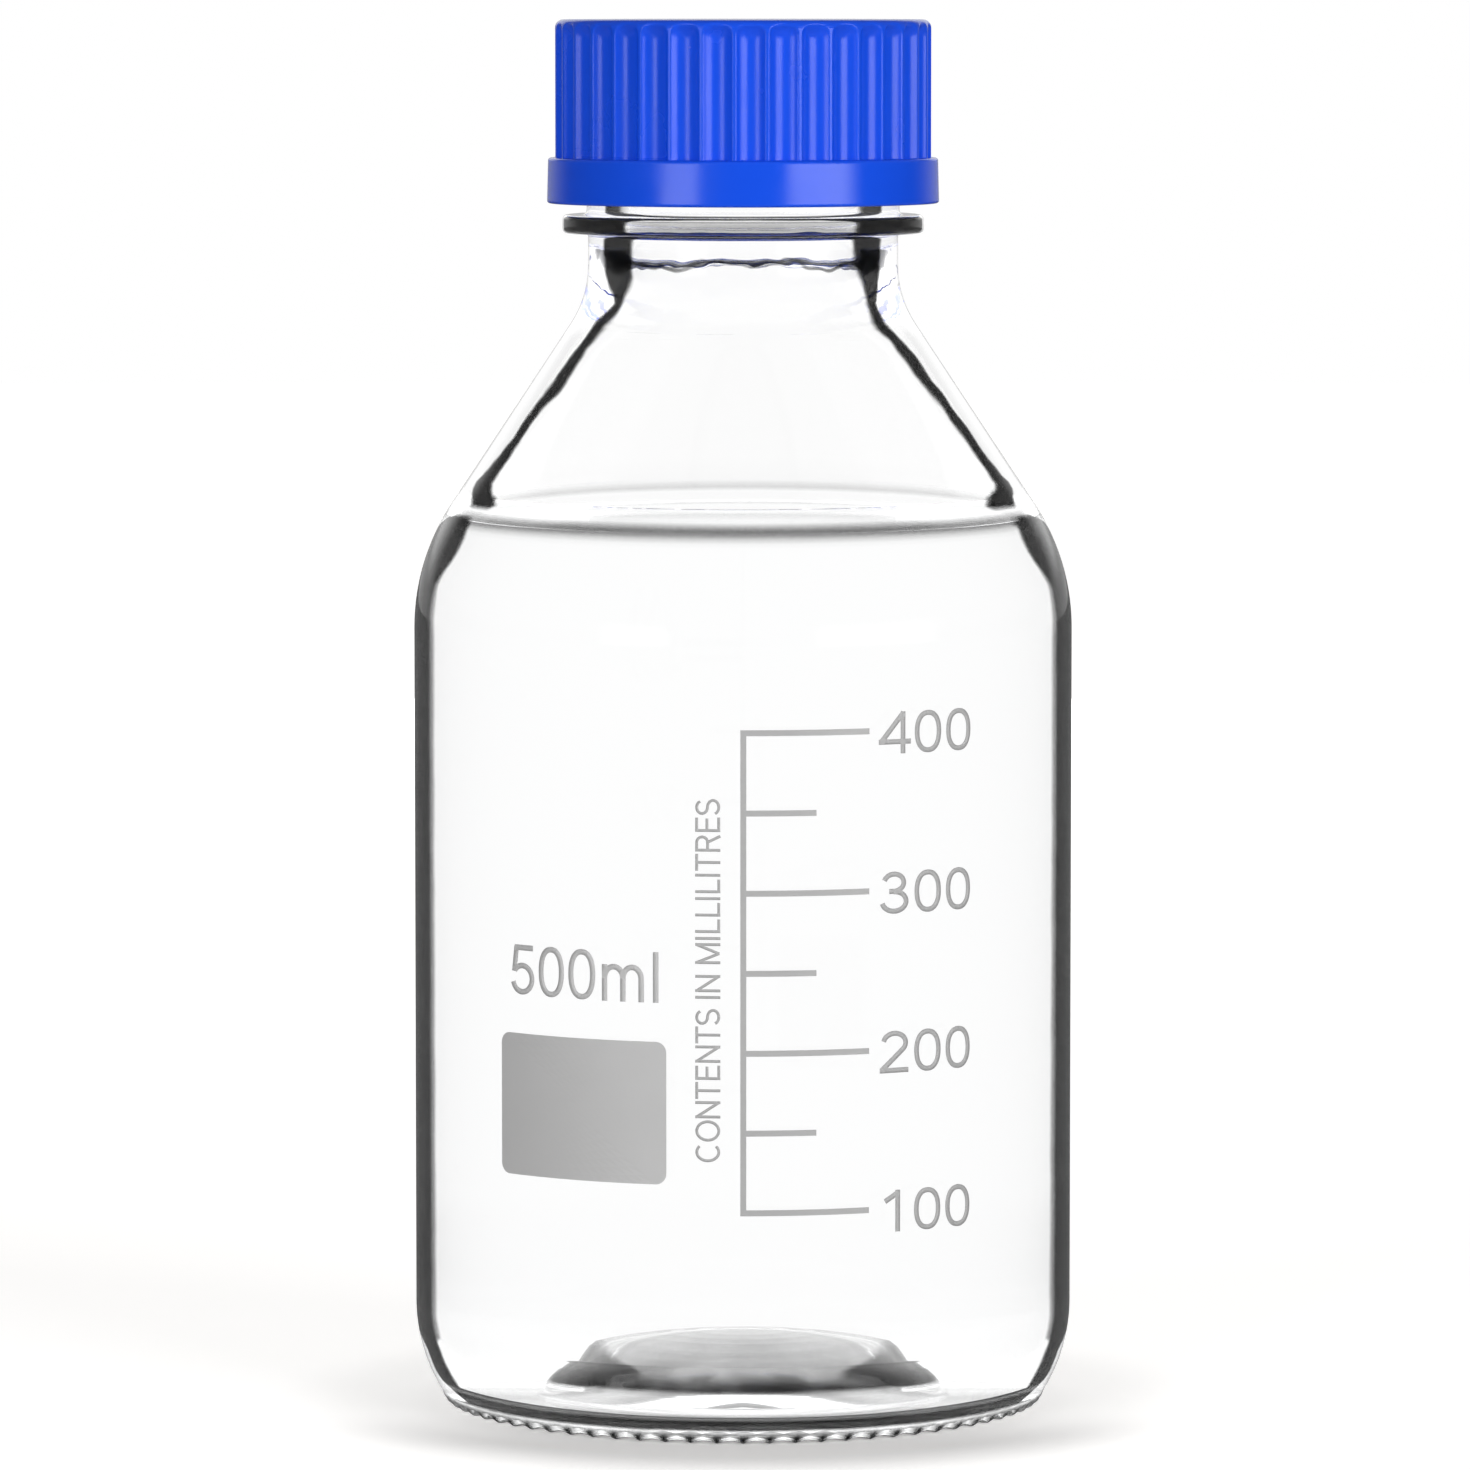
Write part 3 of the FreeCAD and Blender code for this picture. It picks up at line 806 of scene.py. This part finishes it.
INNER_FLOOR = [
    (0.0, -1, 0.1, 0.0), (13.4, -1, 0.12, 0.0), (14.6, -1, 0.22, 0.7), (16.4, -1, 0.38, 0.95),
    (17.9, -1, 0.5, 0.95), (18.9, -1, 0.5, 0.95), (19.15, -1, 0.5, 0.0), (20.6, -1, 0.4, 0.0),
]
# How strong the painted mottled shade is on the inner floor, by radius.
FLOOR_SHADE_VEIL = [(13.4, 1.2), (16.2, 1.9), (17.6, 3.4), (18.9, 5.2), (19.15, 0.4), (29.0, 0.3)]
print(len(OUTER_WALL), "stations by height,", len(INNER_FLOOR), "by radius: place, from, to, depth")

# %% What each row carries
COLLAR = 154.2
THREAD_FROM, THREAD_TO = 156.4, 170.3
FEET_FROM, FEET_TOP = 36.0, 1.6


def along_stations(stations, value):
    """What the stations say at a place between them."""
    place, *rules = np.array(stations).T
    return np.stack([np.interp(value, place, rule) for rule in rules], 1)


def inner_wall_depth(height):
    """Depth of painted shade on the inside wall: a dark line at the liquid's rim and at the collar, a faint
    grey just above the rim.
    """
    rim = -0.55 * np.exp(-(((height - RIM) / 0.85) ** 2))
    collar = -0.36 * np.clip(1 - np.abs(height - COLLAR) / 0.5, 0, 1) ** 0.3
    return rim + collar + 0.15 * np.exp(-(((height - RIM - 1.7) / 0.7) ** 2))


def row_rules(points, lip):
    """Edge shade (from, to, depth) and features (thread less the rows of painted line and base shade, beads,
    waviness) of every row.
    """
    radius, height = points.T
    out = np.arange(len(points)) <= lip
    under = out & (radius < 38) & (height < 10)
    floor = ~out & (radius < 30) & (height < 11)
    shade = along_stations(OUTER_WALL, height)
    shade[under, 2] = 0.0
    shade[~out] = np.stack([height * 0 - 1, height * 0 + 2, inner_wall_depth(height)], 1)[~out]
    shade[floor] = along_stations(INNER_FLOOR, radius)[floor]
    thread = out & (height > THREAD_FROM) & (height < THREAD_TO) & (radius > NECK)
    shade_veil_rows = np.where(out, 0, np.clip(1.2 - np.abs(height - NECK_SHADE_LINE) / 5, 0, 1))
    shade_veil_rows[floor] = along_stations(FLOOR_SHADE_VEIL, radius[floor])[:, 0]
    on_foot = np.clip((radius - FEET_FROM) / 0.8, 0, 1) * np.clip((FEET_TOP - height) / 0.5, 0, 1)
    bead = np.where(out, on_foot, 0)
    wave = np.where(height < 9, 0.05, np.where(height > 140, 0.2, np.where(height > 116, 0.12, 0.02)))
    return shade, np.stack([thread - shade_veil_rows, bead, wave], 1)


edge_shade, feature = row_rules(glass_points, lip_row)
print("thread rows", int((feature[:, 0] > 0).sum()), "bead rows", int((feature[:, 1] > 0).sum()))


# %% Bottle tree
def bottle_tree():
    """The turned wall with its neck thread and its ring of small feet."""
    tree, given, result = new_tree("glass_bottle", {
        "Section": "Object", "Segments": 288, "Thread height": 0.0018, "Thread low": 0.1604,
        "Pitch": 0.004, "Turns": 2.2, "Root": 0.0025, "Crest": 0.0009, "Beads": 72, "Bead depth": 0.00035,
        "Material": "Material"})
    radius, height, turns = round_place(tree)
    rows = split(named(tree, "feature"))
    rib = calc("MAXIMUM", rows["X"], 0.0) * thread_height(given, height, turns)
    foot = rows["Y"] * fade(calc("COSINE", turns * given["Beads"] * math.tau), -0.35, 0.6)
    # Each foot's amount is kept as an attribute for the painted dark spot on it.
    shell = stored(turned(given), "bead_spot", foot, "FLOAT")
    bumpy = pushed(shell, radius, rib * given["Thread height"], -(foot * given["Bead depth"]))
    return finished(bumpy, given, result)


bottle = grown("bottle_glass", bottle_tree(), {
    "Section": section_object(glass_points, edge_shade=edge_shade, feature=feature), "Material": GLASS})

# %% [markdown]
# ## The liquid
# Refraction between glass and water is what hides the inner wall below the liquid line. Cycles treats
# each surface as if it met air, so the liquid reaches a little into the glass: the ray then enters the
# water and leaves the glass in turn, and the two bends add up to the true one. The surface climbs the
# wall in a small curve, and the dark line that shows there is painted shade on the inside wall's rows.

# %% Liquid section
REACH, CLIMB = 0.16, 0.1
rim_height = LEVEL + CLIMB
rim = cone(rim_height) - SHOULDER_WALL + REACH
liquid_floor = [(r, z - REACH, *rest) for r, z, *rest in dome[::-1]]
liquid_wall = [
    (BODY - WALL + REACH, 3.2 - REACH, 7.0, 4.0, 8.0),
    (BODY - WALL + REACH, height_at(BODY - WALL + SHOULDER_WALL) + REACH / 2, 26.0, 6.0, 1.3),
    (rim, rim_height, 0),
]
surface = [(rim - d, LEVEL + CLIMB * math.exp(-((d / 1.5) ** 1.15)), 0) for d in np.linspace(0.25, 7, 16)]
surface += [(20, LEVEL, 0), (1.5, LEVEL, 0), (0, LEVEL, 0)]
liquid_points = section_points(liquid_floor + liquid_wall + surface, turn=20.0)
print(len(liquid_points), "rows, level at", LEVEL, "mm")


# %% Liquid piece
def plain_turned_tree():
    """A turned piece with no rule of its own."""
    _, given, result = new_tree("turned_piece", {
        "Section": "Object", "Segments": 128, "Material": "Material"})
    return finished(turned(given), given, result)


TURNED = plain_turned_tree()


def turned_piece(name, points, segments, material):
    """A plain turned piece from its section."""
    section = section_object(points)
    return grown(name, TURNED, {"Section": section, "Segments": segments, "Material": material})


liquid = turned_piece("clear_liquid", liquid_points, 360, LIQUID)

# %% [markdown]
# ## The cap
# The cap is moulded: a smooth skirt, thirty-six scalloped flutes for grip that end in small arches under
# a rounded rim, and a thread inside. The flutes are a rule of turns and height: the distance to a
# flute's middle line, measured round its arched end, gives the depth of a round cut, and a soft
# minimum leaves narrow rounded ridges between the cuts. Columns of points are crowded towards the
# ridges first, where the shape changes fastest. The grip is a little more satin than the rest.

# %% Cap section
cap_points = section_points([
    (0, 179.05, 0), (1.5, 179.05, 0), (22.6, 179.05, 0.3), (22.6, 177.6, 0.1), (21.9, 177.1, 0.25),
    (22.6, 176.6, 0.1, 0.6), (22.6, 159.0, 0.4), (23.8, 157.1, 0.2), (25.55, 157.1, 0.35),
    (25.4, 163.0, 0.35), (24.5, 163.0, 0.12), (24.5, 164.2, 0, 3.0), (24.5, 176.6, 0, 0.25),
    (24.5, 180.95, 1.1), (21.5, 180.95, 0), (1.5, 180.95, 0), (0, 180.95, 0)], turn=15.0)
cap_radius, cap_height = cap_points.T
cap_rows = np.arange(len(cap_points))
outer_start = int(np.argmax(cap_radius))
grip = (cap_rows > outer_start) & (cap_radius > 22.5) & (cap_height > 163.02)
bore = (cap_rows < outer_start) & (cap_radius > 22) & (cap_height < 175)
cap_feature = np.stack([bore, grip, cap_rows * 0], 1).astype(float)
print(len(cap_points), "rows", int(grip.sum()), "on the grip")

# %% Cap tree
CROWDING, RIDGE_SOFTNESS, ARCH = 0.6, 0.00008, 3.0


def flute_depth(given, height, beat):
    """How deep the nearest flute cuts into the grip, as a move inwards."""
    turn = (beat - calc("ROUND", beat)) / given["Flutes"] * math.tau
    across = abs(given["Cut middle"] * calc("SINE", turn))
    over = calc("MAXIMUM", height - given["Arch height"], 0.0)
    away = (across ** ARCH + over ** ARCH) ** (1.0 / ARCH)
    hollow = calc("SQRT", calc("MAXIMUM", given["Cut radius"] ** 2.0 - away ** 2.0, 0.0))
    cut = given["Cut middle"] * calc("COSINE", turn) - hollow
    wanted = calc("SMOOTH_MIN", cut, given["Grip radius"], RIDGE_SOFTNESS)
    return calc("MINIMUM", wanted - given["Grip radius"], 0.0)


def cap_tree():
    """The turned cap with scalloped flutes outside and a thread inside."""
    tree, given, result = new_tree("screw_cap", {
        "Section": "Object", "Segments": 648, "Flutes": 36, "Cut radius": 0.0024, "Cut middle": 0.0259,
        "Grip radius": 0.0245, "Arch height": 0.1785, "Front": 0.75 + 2.3 / 360, "Thread height": 0.00165,
        "Thread low": 0.1626, "Pitch": 0.004, "Turns": 1.75, "Root": 0.002, "Crest": 0.0008,
        "Material": "Material"})
    radius, height, turns = round_place(tree)
    rows = split(named(tree, "feature"))
    beat = (turns - given["Front"]) * given["Flutes"]
    sway = CROWDING * calc("SINE", beat * math.tau) / given["Flutes"]
    spun = output(tree, "ShaderNodeVectorRotate", rotation_type="Z_AXIS",
                  inputs={"Vector": position(tree), "Angle": sway})
    shell = output(tree, "GeometryNodeSetPosition", turned(given), None, spun)
    flute = flute_depth(given, height, beat) * rows["Y"]
    rib = rows["X"] * thread_height(given, height, turns) * given["Thread height"]
    return finished(pushed(shell, radius, flute - rib, 0.0), given, result)


cap = grown("screw_cap_blue", cap_tree(), {
    "Section": section_object(cap_points, feature=cap_feature), "Material": CAP_BLUE})

# %% [markdown]
# ## Pouring ring and liner
# Both sit inside the cap and show when it is lifted. The ring snaps over the glass bead and ends in a
# thin drip edge; the liner is a soft disc with moulded rings. They are turned with rounded corners.

# %% Ring and liner
ring_points = section_points([
    (19.35, 172.0, 0), (19.35, 171.6, 0.1), (20.6, 171.6, 0.25), (20.6, 177.7, 0.18), (20.2, 177.7, 0.15),
    (19.7, 177.1, 0.4), (13.9, 177.1, 0.6), (13.9, 171.6, 0.3), (14.85, 171.6, 0.3), (14.85, 176.1, 0.2),
    (19.8, 176.1, 0.2), (19.8, 173.05, 0.1), (19.35, 172.6, 0.1), (19.35, 172.0, 0)])
pouring_ring = turned_piece("pouring_ring_pale", ring_points, 192, RING_PALE)
liner_points = section_points([
    (0, 177.76, 0), (2, 177.76, 0), (12.6, 177.76, 0.3), (12.9, 178.0, 0.2), (13.4, 178.0, 0.2),
    (13.7, 177.76, 0.3), (20.9, 177.76, 0.3), (21.2, 178.0, 0.2), (21.5, 178.0, 0.2), (21.8, 177.76, 0.1),
    (22.2, 177.76, 0.15), (22.2, 178.94, 0.15), (2, 178.94, 0), (0, 178.94, 0)])
liner = turned_piece("liner_disc", liner_points, 160, LINER_WHITE)

# %% [markdown]
# ## The printed scale
# The print is enamel fired on the outside of the glass: an upright line with marks, numbers, a capacity
# and a plain panel to write on. Each is drawn flat and given a hair of thickness, and one shared tree
# bends them all round the body, so that the print follows the glass. The words and numbers are generic.


# %% Enamel
def enamel_finish(name, thin, thick):
    """Fired grey enamel: slightly uneven cover, between two greys, and a soft sheen."""
    made, tree, shader = new_finish(name, IOR=1.5)
    skin = skin_on(tree, Grain_size=0.00025, Mark_size=0.004)
    tone = blend_colours(skin["Drift"], grey(thin), grey(thick))
    fill(shader, {"Base Color": tone, "Roughness": skin["Marks"] * 0.3 + 0.42})
    bumped(shader, skin["Height"], 0.15, 0.00002)
    return made


ENAMEL = enamel_finish("grey_enamel", 0.43, 0.47)
# Painted light: a lighter copy of the same grey enamel for the writing panel and the capacity, which sit on
# the left of the body, making up for the weaker left lamp.
LEFT_BRIGHTENED_ENAMEL = enamel_finish("enamel_brightened_left", 0.53, 0.57)
print(ENAMEL.name, LEFT_BRIGHTENED_ENAMEL.name)

# %% Wrapping trees
PRINT_FLOOR, PRINT_TOP = 43.02 * MM, 43.10 * MM


def bending_tree():
    """Bends a flat drawing round the body: X goes round from the front, Y goes up and Z goes out."""
    tree, given, result = new_tree("bend_round_body", {
        "Drawing": "Geometry", "Body": BODY * MM, "Inner": PRINT_FLOOR})
    place = split(position(tree))
    turn = place["X"] / given["Body"]
    radius = place["Z"] + given["Inner"]
    target = joined(radius * calc("SINE", turn), -(radius * calc("COSINE", turn)), place["Y"])
    feed(result, output(tree, "GeometryNodeSetPosition", given["Drawing"], None, target))
    return tree


def both(first, second):
    """Two meshes as one."""
    made = node(first.tree, "GeometryNodeJoinGeometry")
    feed(made.inputs[0], first)
    feed(made.inputs[0], second)
    return Value(made.outputs[0])


def thickening_tree():
    """Divides a flat drawing finely and gives it thickness."""
    tree, given, result = new_tree("thicken_print", {
        "Drawing": "Geometry", "Splits": 2, "Thickness": PRINT_TOP - PRINT_FLOOR})
    fine = output(tree, "GeometryNodeSubdivideMesh", given["Drawing"], given["Splits"])
    back = output(tree, "GeometryNodeFlipFaces", fine)
    raised = output(tree, "GeometryNodeExtrudeMesh", mode="FACES", key="Mesh", inputs={
        "Mesh": fine, "Individual": False, "Offset": (0.0, 0.0, 1.0), "Offset Scale": given["Thickness"]})
    feed(result, merged(both(back, raised)))
    return tree


BENDING, THICKENING = bending_tree(), thickening_tree()


def bent(solid, given, result):
    """Ends a print's tree: bends it round the body, and puts the enamel on."""
    return finished(group(BENDING, {"Drawing": solid}), given, result)


def wrapped(flat, given, result, splits):
    """Thickens a flat drawing, then bends it."""
    return bent(group(THICKENING, {"Drawing": flat, "Splits": splits}), given, result)


print(BENDING.name, THICKENING.name)


# %% Scale marks
def moved(mesh, x, y):
    """A drawing moved in its plane."""
    offset = output(mesh.tree, "ShaderNodeCombineXYZ", x, y, 0.0)
    return output(mesh.tree, "GeometryNodeTransform", mesh, inputs={"Translation": offset})


def mark_strokes(tree, given, half):
    """Level strokes, long and short by turns, from the upright's edge."""
    line = output(tree, "GeometryNodeMeshLine", inputs={
        "Count": given["Marks"], "Start Location": joined(half, given["First"], 0.0),
        "Offset": joined(0.0, given["Step"], 0.0)})
    odd = whole("MODULO", output(tree, "GeometryNodeInputIndex"), 2)
    span = blend(odd, given["Long"], given["Short"]) - half
    stroke = moved(output(tree, "GeometryNodeMeshGrid", 1.0, 1.0, 25, 3), 0.5, 0.0)
    strokes = output(tree, "GeometryNodeInstanceOnPoints", inputs={
        "Points": line, "Instance": stroke, "Scale": joined(span, given["Line"], 1.0)})
    return output(tree, "GeometryNodeRealizeInstances", strokes)


def scale_tree():
    """An upright line with a long mark at every step and a short one between."""
    tree, given, result = new_tree("volume_scale", {
        "Marks": 7, "First": 0.0303, "Step": 0.010175, "Line": 0.00076, "Long": 0.01632, "Short": 0.00931,
        "Material": "Material"})
    marks = mark_strokes(tree, given, given["Line"] / 2.0)
    climb = given["Step"] * (given["Marks"] - 1.0)
    upright = output(tree, "GeometryNodeMeshGrid", given["Line"], climb + given["Line"], 5, 61)
    return wrapped(both(marks, moved(upright, 0.0, given["First"] + climb / 2.0)), given, result, 0)


scale = grown("printed_scale", scale_tree(), {"Material": ENAMEL})


# %% Writing panel
def rectangle(width, height):
    """The outline of a rectangle."""
    sides = {"Width": width, "Height": height}
    return output(width.tree, "GeometryNodeCurvePrimitiveQuadrilateral", inputs=sides)


def panel_tree():
    """A filled rectangle with rounded corners."""
    tree, given, result = new_tree("writing_panel", {
        "Width": 0.02454, "Height": 0.0182, "Round": 0.0014, "Across": -0.0221, "Up": 0.0429,
        "Material": "Material"})
    soft = output(tree, "GeometryNodeFilletCurve", mode="POLY", inputs={
        "Curve": rectangle(given["Width"], given["Height"]), "Count": 7, "Radius": given["Round"]})
    filled = output(tree, "GeometryNodeFillCurve", soft, mode="TRIANGLES")
    return wrapped(moved(filled, given["Across"], given["Up"]), given, result, 4)


panel = grown("writing_panel", panel_tree(), {"Material": LEFT_BRIGHTENED_ENAMEL})

# %% [markdown]
# ## Numbers and words
# Print on laboratory glass is drawn with strokes of one width. A font would hold their outlines, but a
# pen's path is shorter to write: straight runs and arcs, in units of a capital's height. A tree sweeps
# a flat nib along the paths, unites the strokes where they cross, and bends the result round the body.


# %% Pen paths of the characters
def bow(across, up, wide, tall, start=90, end=450, power=2.0):
    """Points on part of an oval, from one angle to another in degrees."""
    turns = np.radians(np.linspace(start, end, max(4, math.ceil(abs(end - start) / 9)) + 1))
    even = 2.0 / power
    return [(across + wide * math.copysign(abs(math.cos(a)) ** even, math.cos(a)),
             up + tall * math.copysign(abs(math.sin(a)) ** even, math.sin(a))) for a in turns]


def stem(across, low=0.0, high=1.0):
    """An upright stroke."""
    return [(across, low), (across, high)]


def bar(up, left, right):
    """A level stroke."""
    return [(left, up), (right, up)]


TOP, FOOT, DIGIT = 0.9375, 0.0625, 0.777
CHARACTERS = {
    "0": (DIGIT, [bow(0.387, 0.5, 0.268, 0.445, power=2.3)]),
    "1": (DIGIT, [stem(0.46), [(0.46, 0.93), (0.17, 0.735)]]),
    "2": (DIGIT, [bow(0.385, 0.715, 0.255, 0.23, 170, -38) + [(0.105, 0.085)], bar(FOOT, 0.05, 0.70)]),
    "3": (DIGIT, [bow(0.365, 0.735, 0.225, 0.205, 165, -88), bar(0.53, 0.26, 0.39),
                  bow(0.37, 0.287, 0.275, 0.232, 92, -170)]),
    "4": (DIGIT, [stem(0.565), [(0.575, 0.975), (0.06, 0.27)], bar(0.285, 0.02, 0.745)]),
    "5": (DIGIT, [bar(TOP, 0.155, 0.67), [(0.205, 0.96), (0.135, 0.46)],
                  bow(0.37, 0.32, 0.275, 0.262, 142, -165)]),
    "m": (1.164, [stem(0.16, 0.0, 0.725),
                  [*stem(0.585, 0.0, 0.46), *bow(0.3725, 0.46, 0.2125, 0.225, 9, 180)],
                  [*stem(1.0, 0.0, 0.46), *bow(0.7925, 0.46, 0.2075, 0.225, 9, 180)]]),
    "l": (0.31, [stem(0.16)]),
    "I": (0.26, [stem(0.12)]),
    " ": (0.3, []),
    "C": (0.78, [bow(0.40, 0.5, 0.33, 0.44, 48, 312)]),
    "O": (0.84, [bow(0.42, 0.5, 0.35, 0.44)]),
    "N": (0.76, [stem(0.11), stem(0.65), [(0.09, 0.97), (0.67, 0.03)]]),
    "T": (0.68, [bar(TOP, 0.02, 0.66), stem(0.34)]),
    "E": (0.66, [stem(0.12), bar(TOP, 0.1, 0.60), bar(0.53, 0.1, 0.57), bar(FOOT, 0.1, 0.61)]),
    "S": (0.66, [bow(0.33, 0.725, 0.235, 0.215, 20, 270) + bow(0.335, 0.285, 0.26, 0.225, 81, -160)]),
    "M": (0.90, [stem(0.11), stem(0.79), [(0.10, 0.98), (0.455, 0.04)], [(0.80, 0.98), (0.445, 0.04)]]),
    "L": (0.62, [stem(0.12), bar(FOOT, 0.1, 0.58)]),
    "R": (0.74, [stem(0.12),
                 [(0.1, TOP), (0.40, TOP), *bow(0.42, 0.72, 0.2, 0.2175, 80, -90), (0.1, 0.5025)],
                 [(0.42, 0.50), (0.65, 0.0)]]),
}
print(len(CHARACTERS), "characters")


# %% A text as paths
def text_paths(text, tall, wide):
    """The centred pen paths of a text, as loose edges: a capital's height in millimetres, and a stretch."""
    points, edges, pen, size = [], [], 0.0, tall * MM
    length = sum(CHARACTERS[letter][0] for letter in text)
    for letter in text:
        advance, strokes = CHARACTERS[letter]
        for stroke in strokes:
            closed = math.dist(stroke[0], stroke[-1]) < 1e-6
            kept = stroke[:-1] if closed else stroke
            first = len(points)
            points += [((pen + x - length / 2) * wide * size, (y - 0.5) * size, 0) for x, y in kept]
            edges += [(first + k, first + k + 1) for k in range(len(kept) - 1)]
            edges += [(len(points) - 1, first)] if closed else []
        pen += advance
    return drawing("paths", points, edges)


print("500ml is", round(sum(CHARACTERS[letter][0] for letter in "500ml"), 2), "capitals long")

# %% Lettering tree
PATH_STEP = 0.0003


def lettering_tree():
    """Pen paths swept with a flat nib, united, and placed on the body, upright or running up."""
    tree, given, result = new_tree("lettering", {
        "Paths": "Object", "Nib": 0.00067, "Thickness": PRINT_TOP - PRINT_FLOOR, "Across": 0.0, "Up": 0.0,
        "Turn": 0.0, "Material": "Material"})
    paths = output(tree, "GeometryNodeObjectInfo", given["Paths"], key="Geometry")
    even = output(tree, "GeometryNodeResampleCurve", mode="LENGTH", inputs={
        "Curve": output(tree, "GeometryNodeMeshToCurve", paths), "Length": PATH_STEP})
    level = output(tree, "GeometryNodeSetCurveNormal", even, mode="Z_UP")
    swept = output(tree, "GeometryNodeCurveToMesh", inputs={
        "Curve": level, "Profile Curve": rectangle(given["Nib"], given["Thickness"]), "Fill Caps": True})
    united = output(tree, "GeometryNodeMeshBoolean", operation="UNION", solver="EXACT", inputs={
        "Mesh 2": swept, "Self Intersection": True})
    upright = output(tree, "GeometryNodeTransform", united, inputs={
        "Translation": joined(given["Across"], given["Up"], given["Thickness"] / 2.0),
        "Rotation": joined(0.0, 0.0, given["Turn"])})
    return bent(upright, given, result)


LETTERING = lettering_tree()
print(LETTERING.name, len(LETTERING.nodes), "nodes")


# %% Numbers, capacity and unit
def written(name, paths, nib, across, up, material, turn=0.0):
    """One text on the body: its nib and its middle in millimetres, round from the front and up."""
    return grown(name, LETTERING, {"Paths": paths, "Nib": nib * MM, "Across": across * MM, "Up": up * MM,
                                   "Turn": turn, "Material": material})


NUMBER_ACROSS, NUMBER_LOW, NUMBER_STEP = 24.8, 30.0, 20.35
lettering = []
for step in range(4):
    number = f"{step + 1}00"
    paths = text_paths(number, 5.35, 1.17)
    up = NUMBER_LOW + NUMBER_STEP * step
    lettering.append(written(f"number_{number}", paths, 0.65, NUMBER_ACROSS, up, ENAMEL))
lettering.append(written("capacity", text_paths("500ml", 6.45, 0.92), 0.72, -21.6, 60.2, LEFT_BRIGHTENED_ENAMEL))
unit_paths = text_paths("CONTENTS IN MILLILITRES", 3.2, 1.055)
lettering.append(written("unit_name", unit_paths, 0.36, -4.5, 59.9, ENAMEL, math.pi / 2))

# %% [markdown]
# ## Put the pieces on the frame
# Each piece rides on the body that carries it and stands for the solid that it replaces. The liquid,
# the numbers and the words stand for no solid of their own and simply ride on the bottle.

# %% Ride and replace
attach(bottle, "bottle")
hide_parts("glass_bottle")
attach(liquid, "bottle")
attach(pouring_ring, "bottle")
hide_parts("pouring_ring")
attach(liner, "liner")
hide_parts("cap_liner")
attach(cap, "cap")
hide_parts("screw_cap")
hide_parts("volume_scale")
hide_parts("marking_field")
for piece in [scale, panel, *lettering]:
    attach(piece, "bottle")
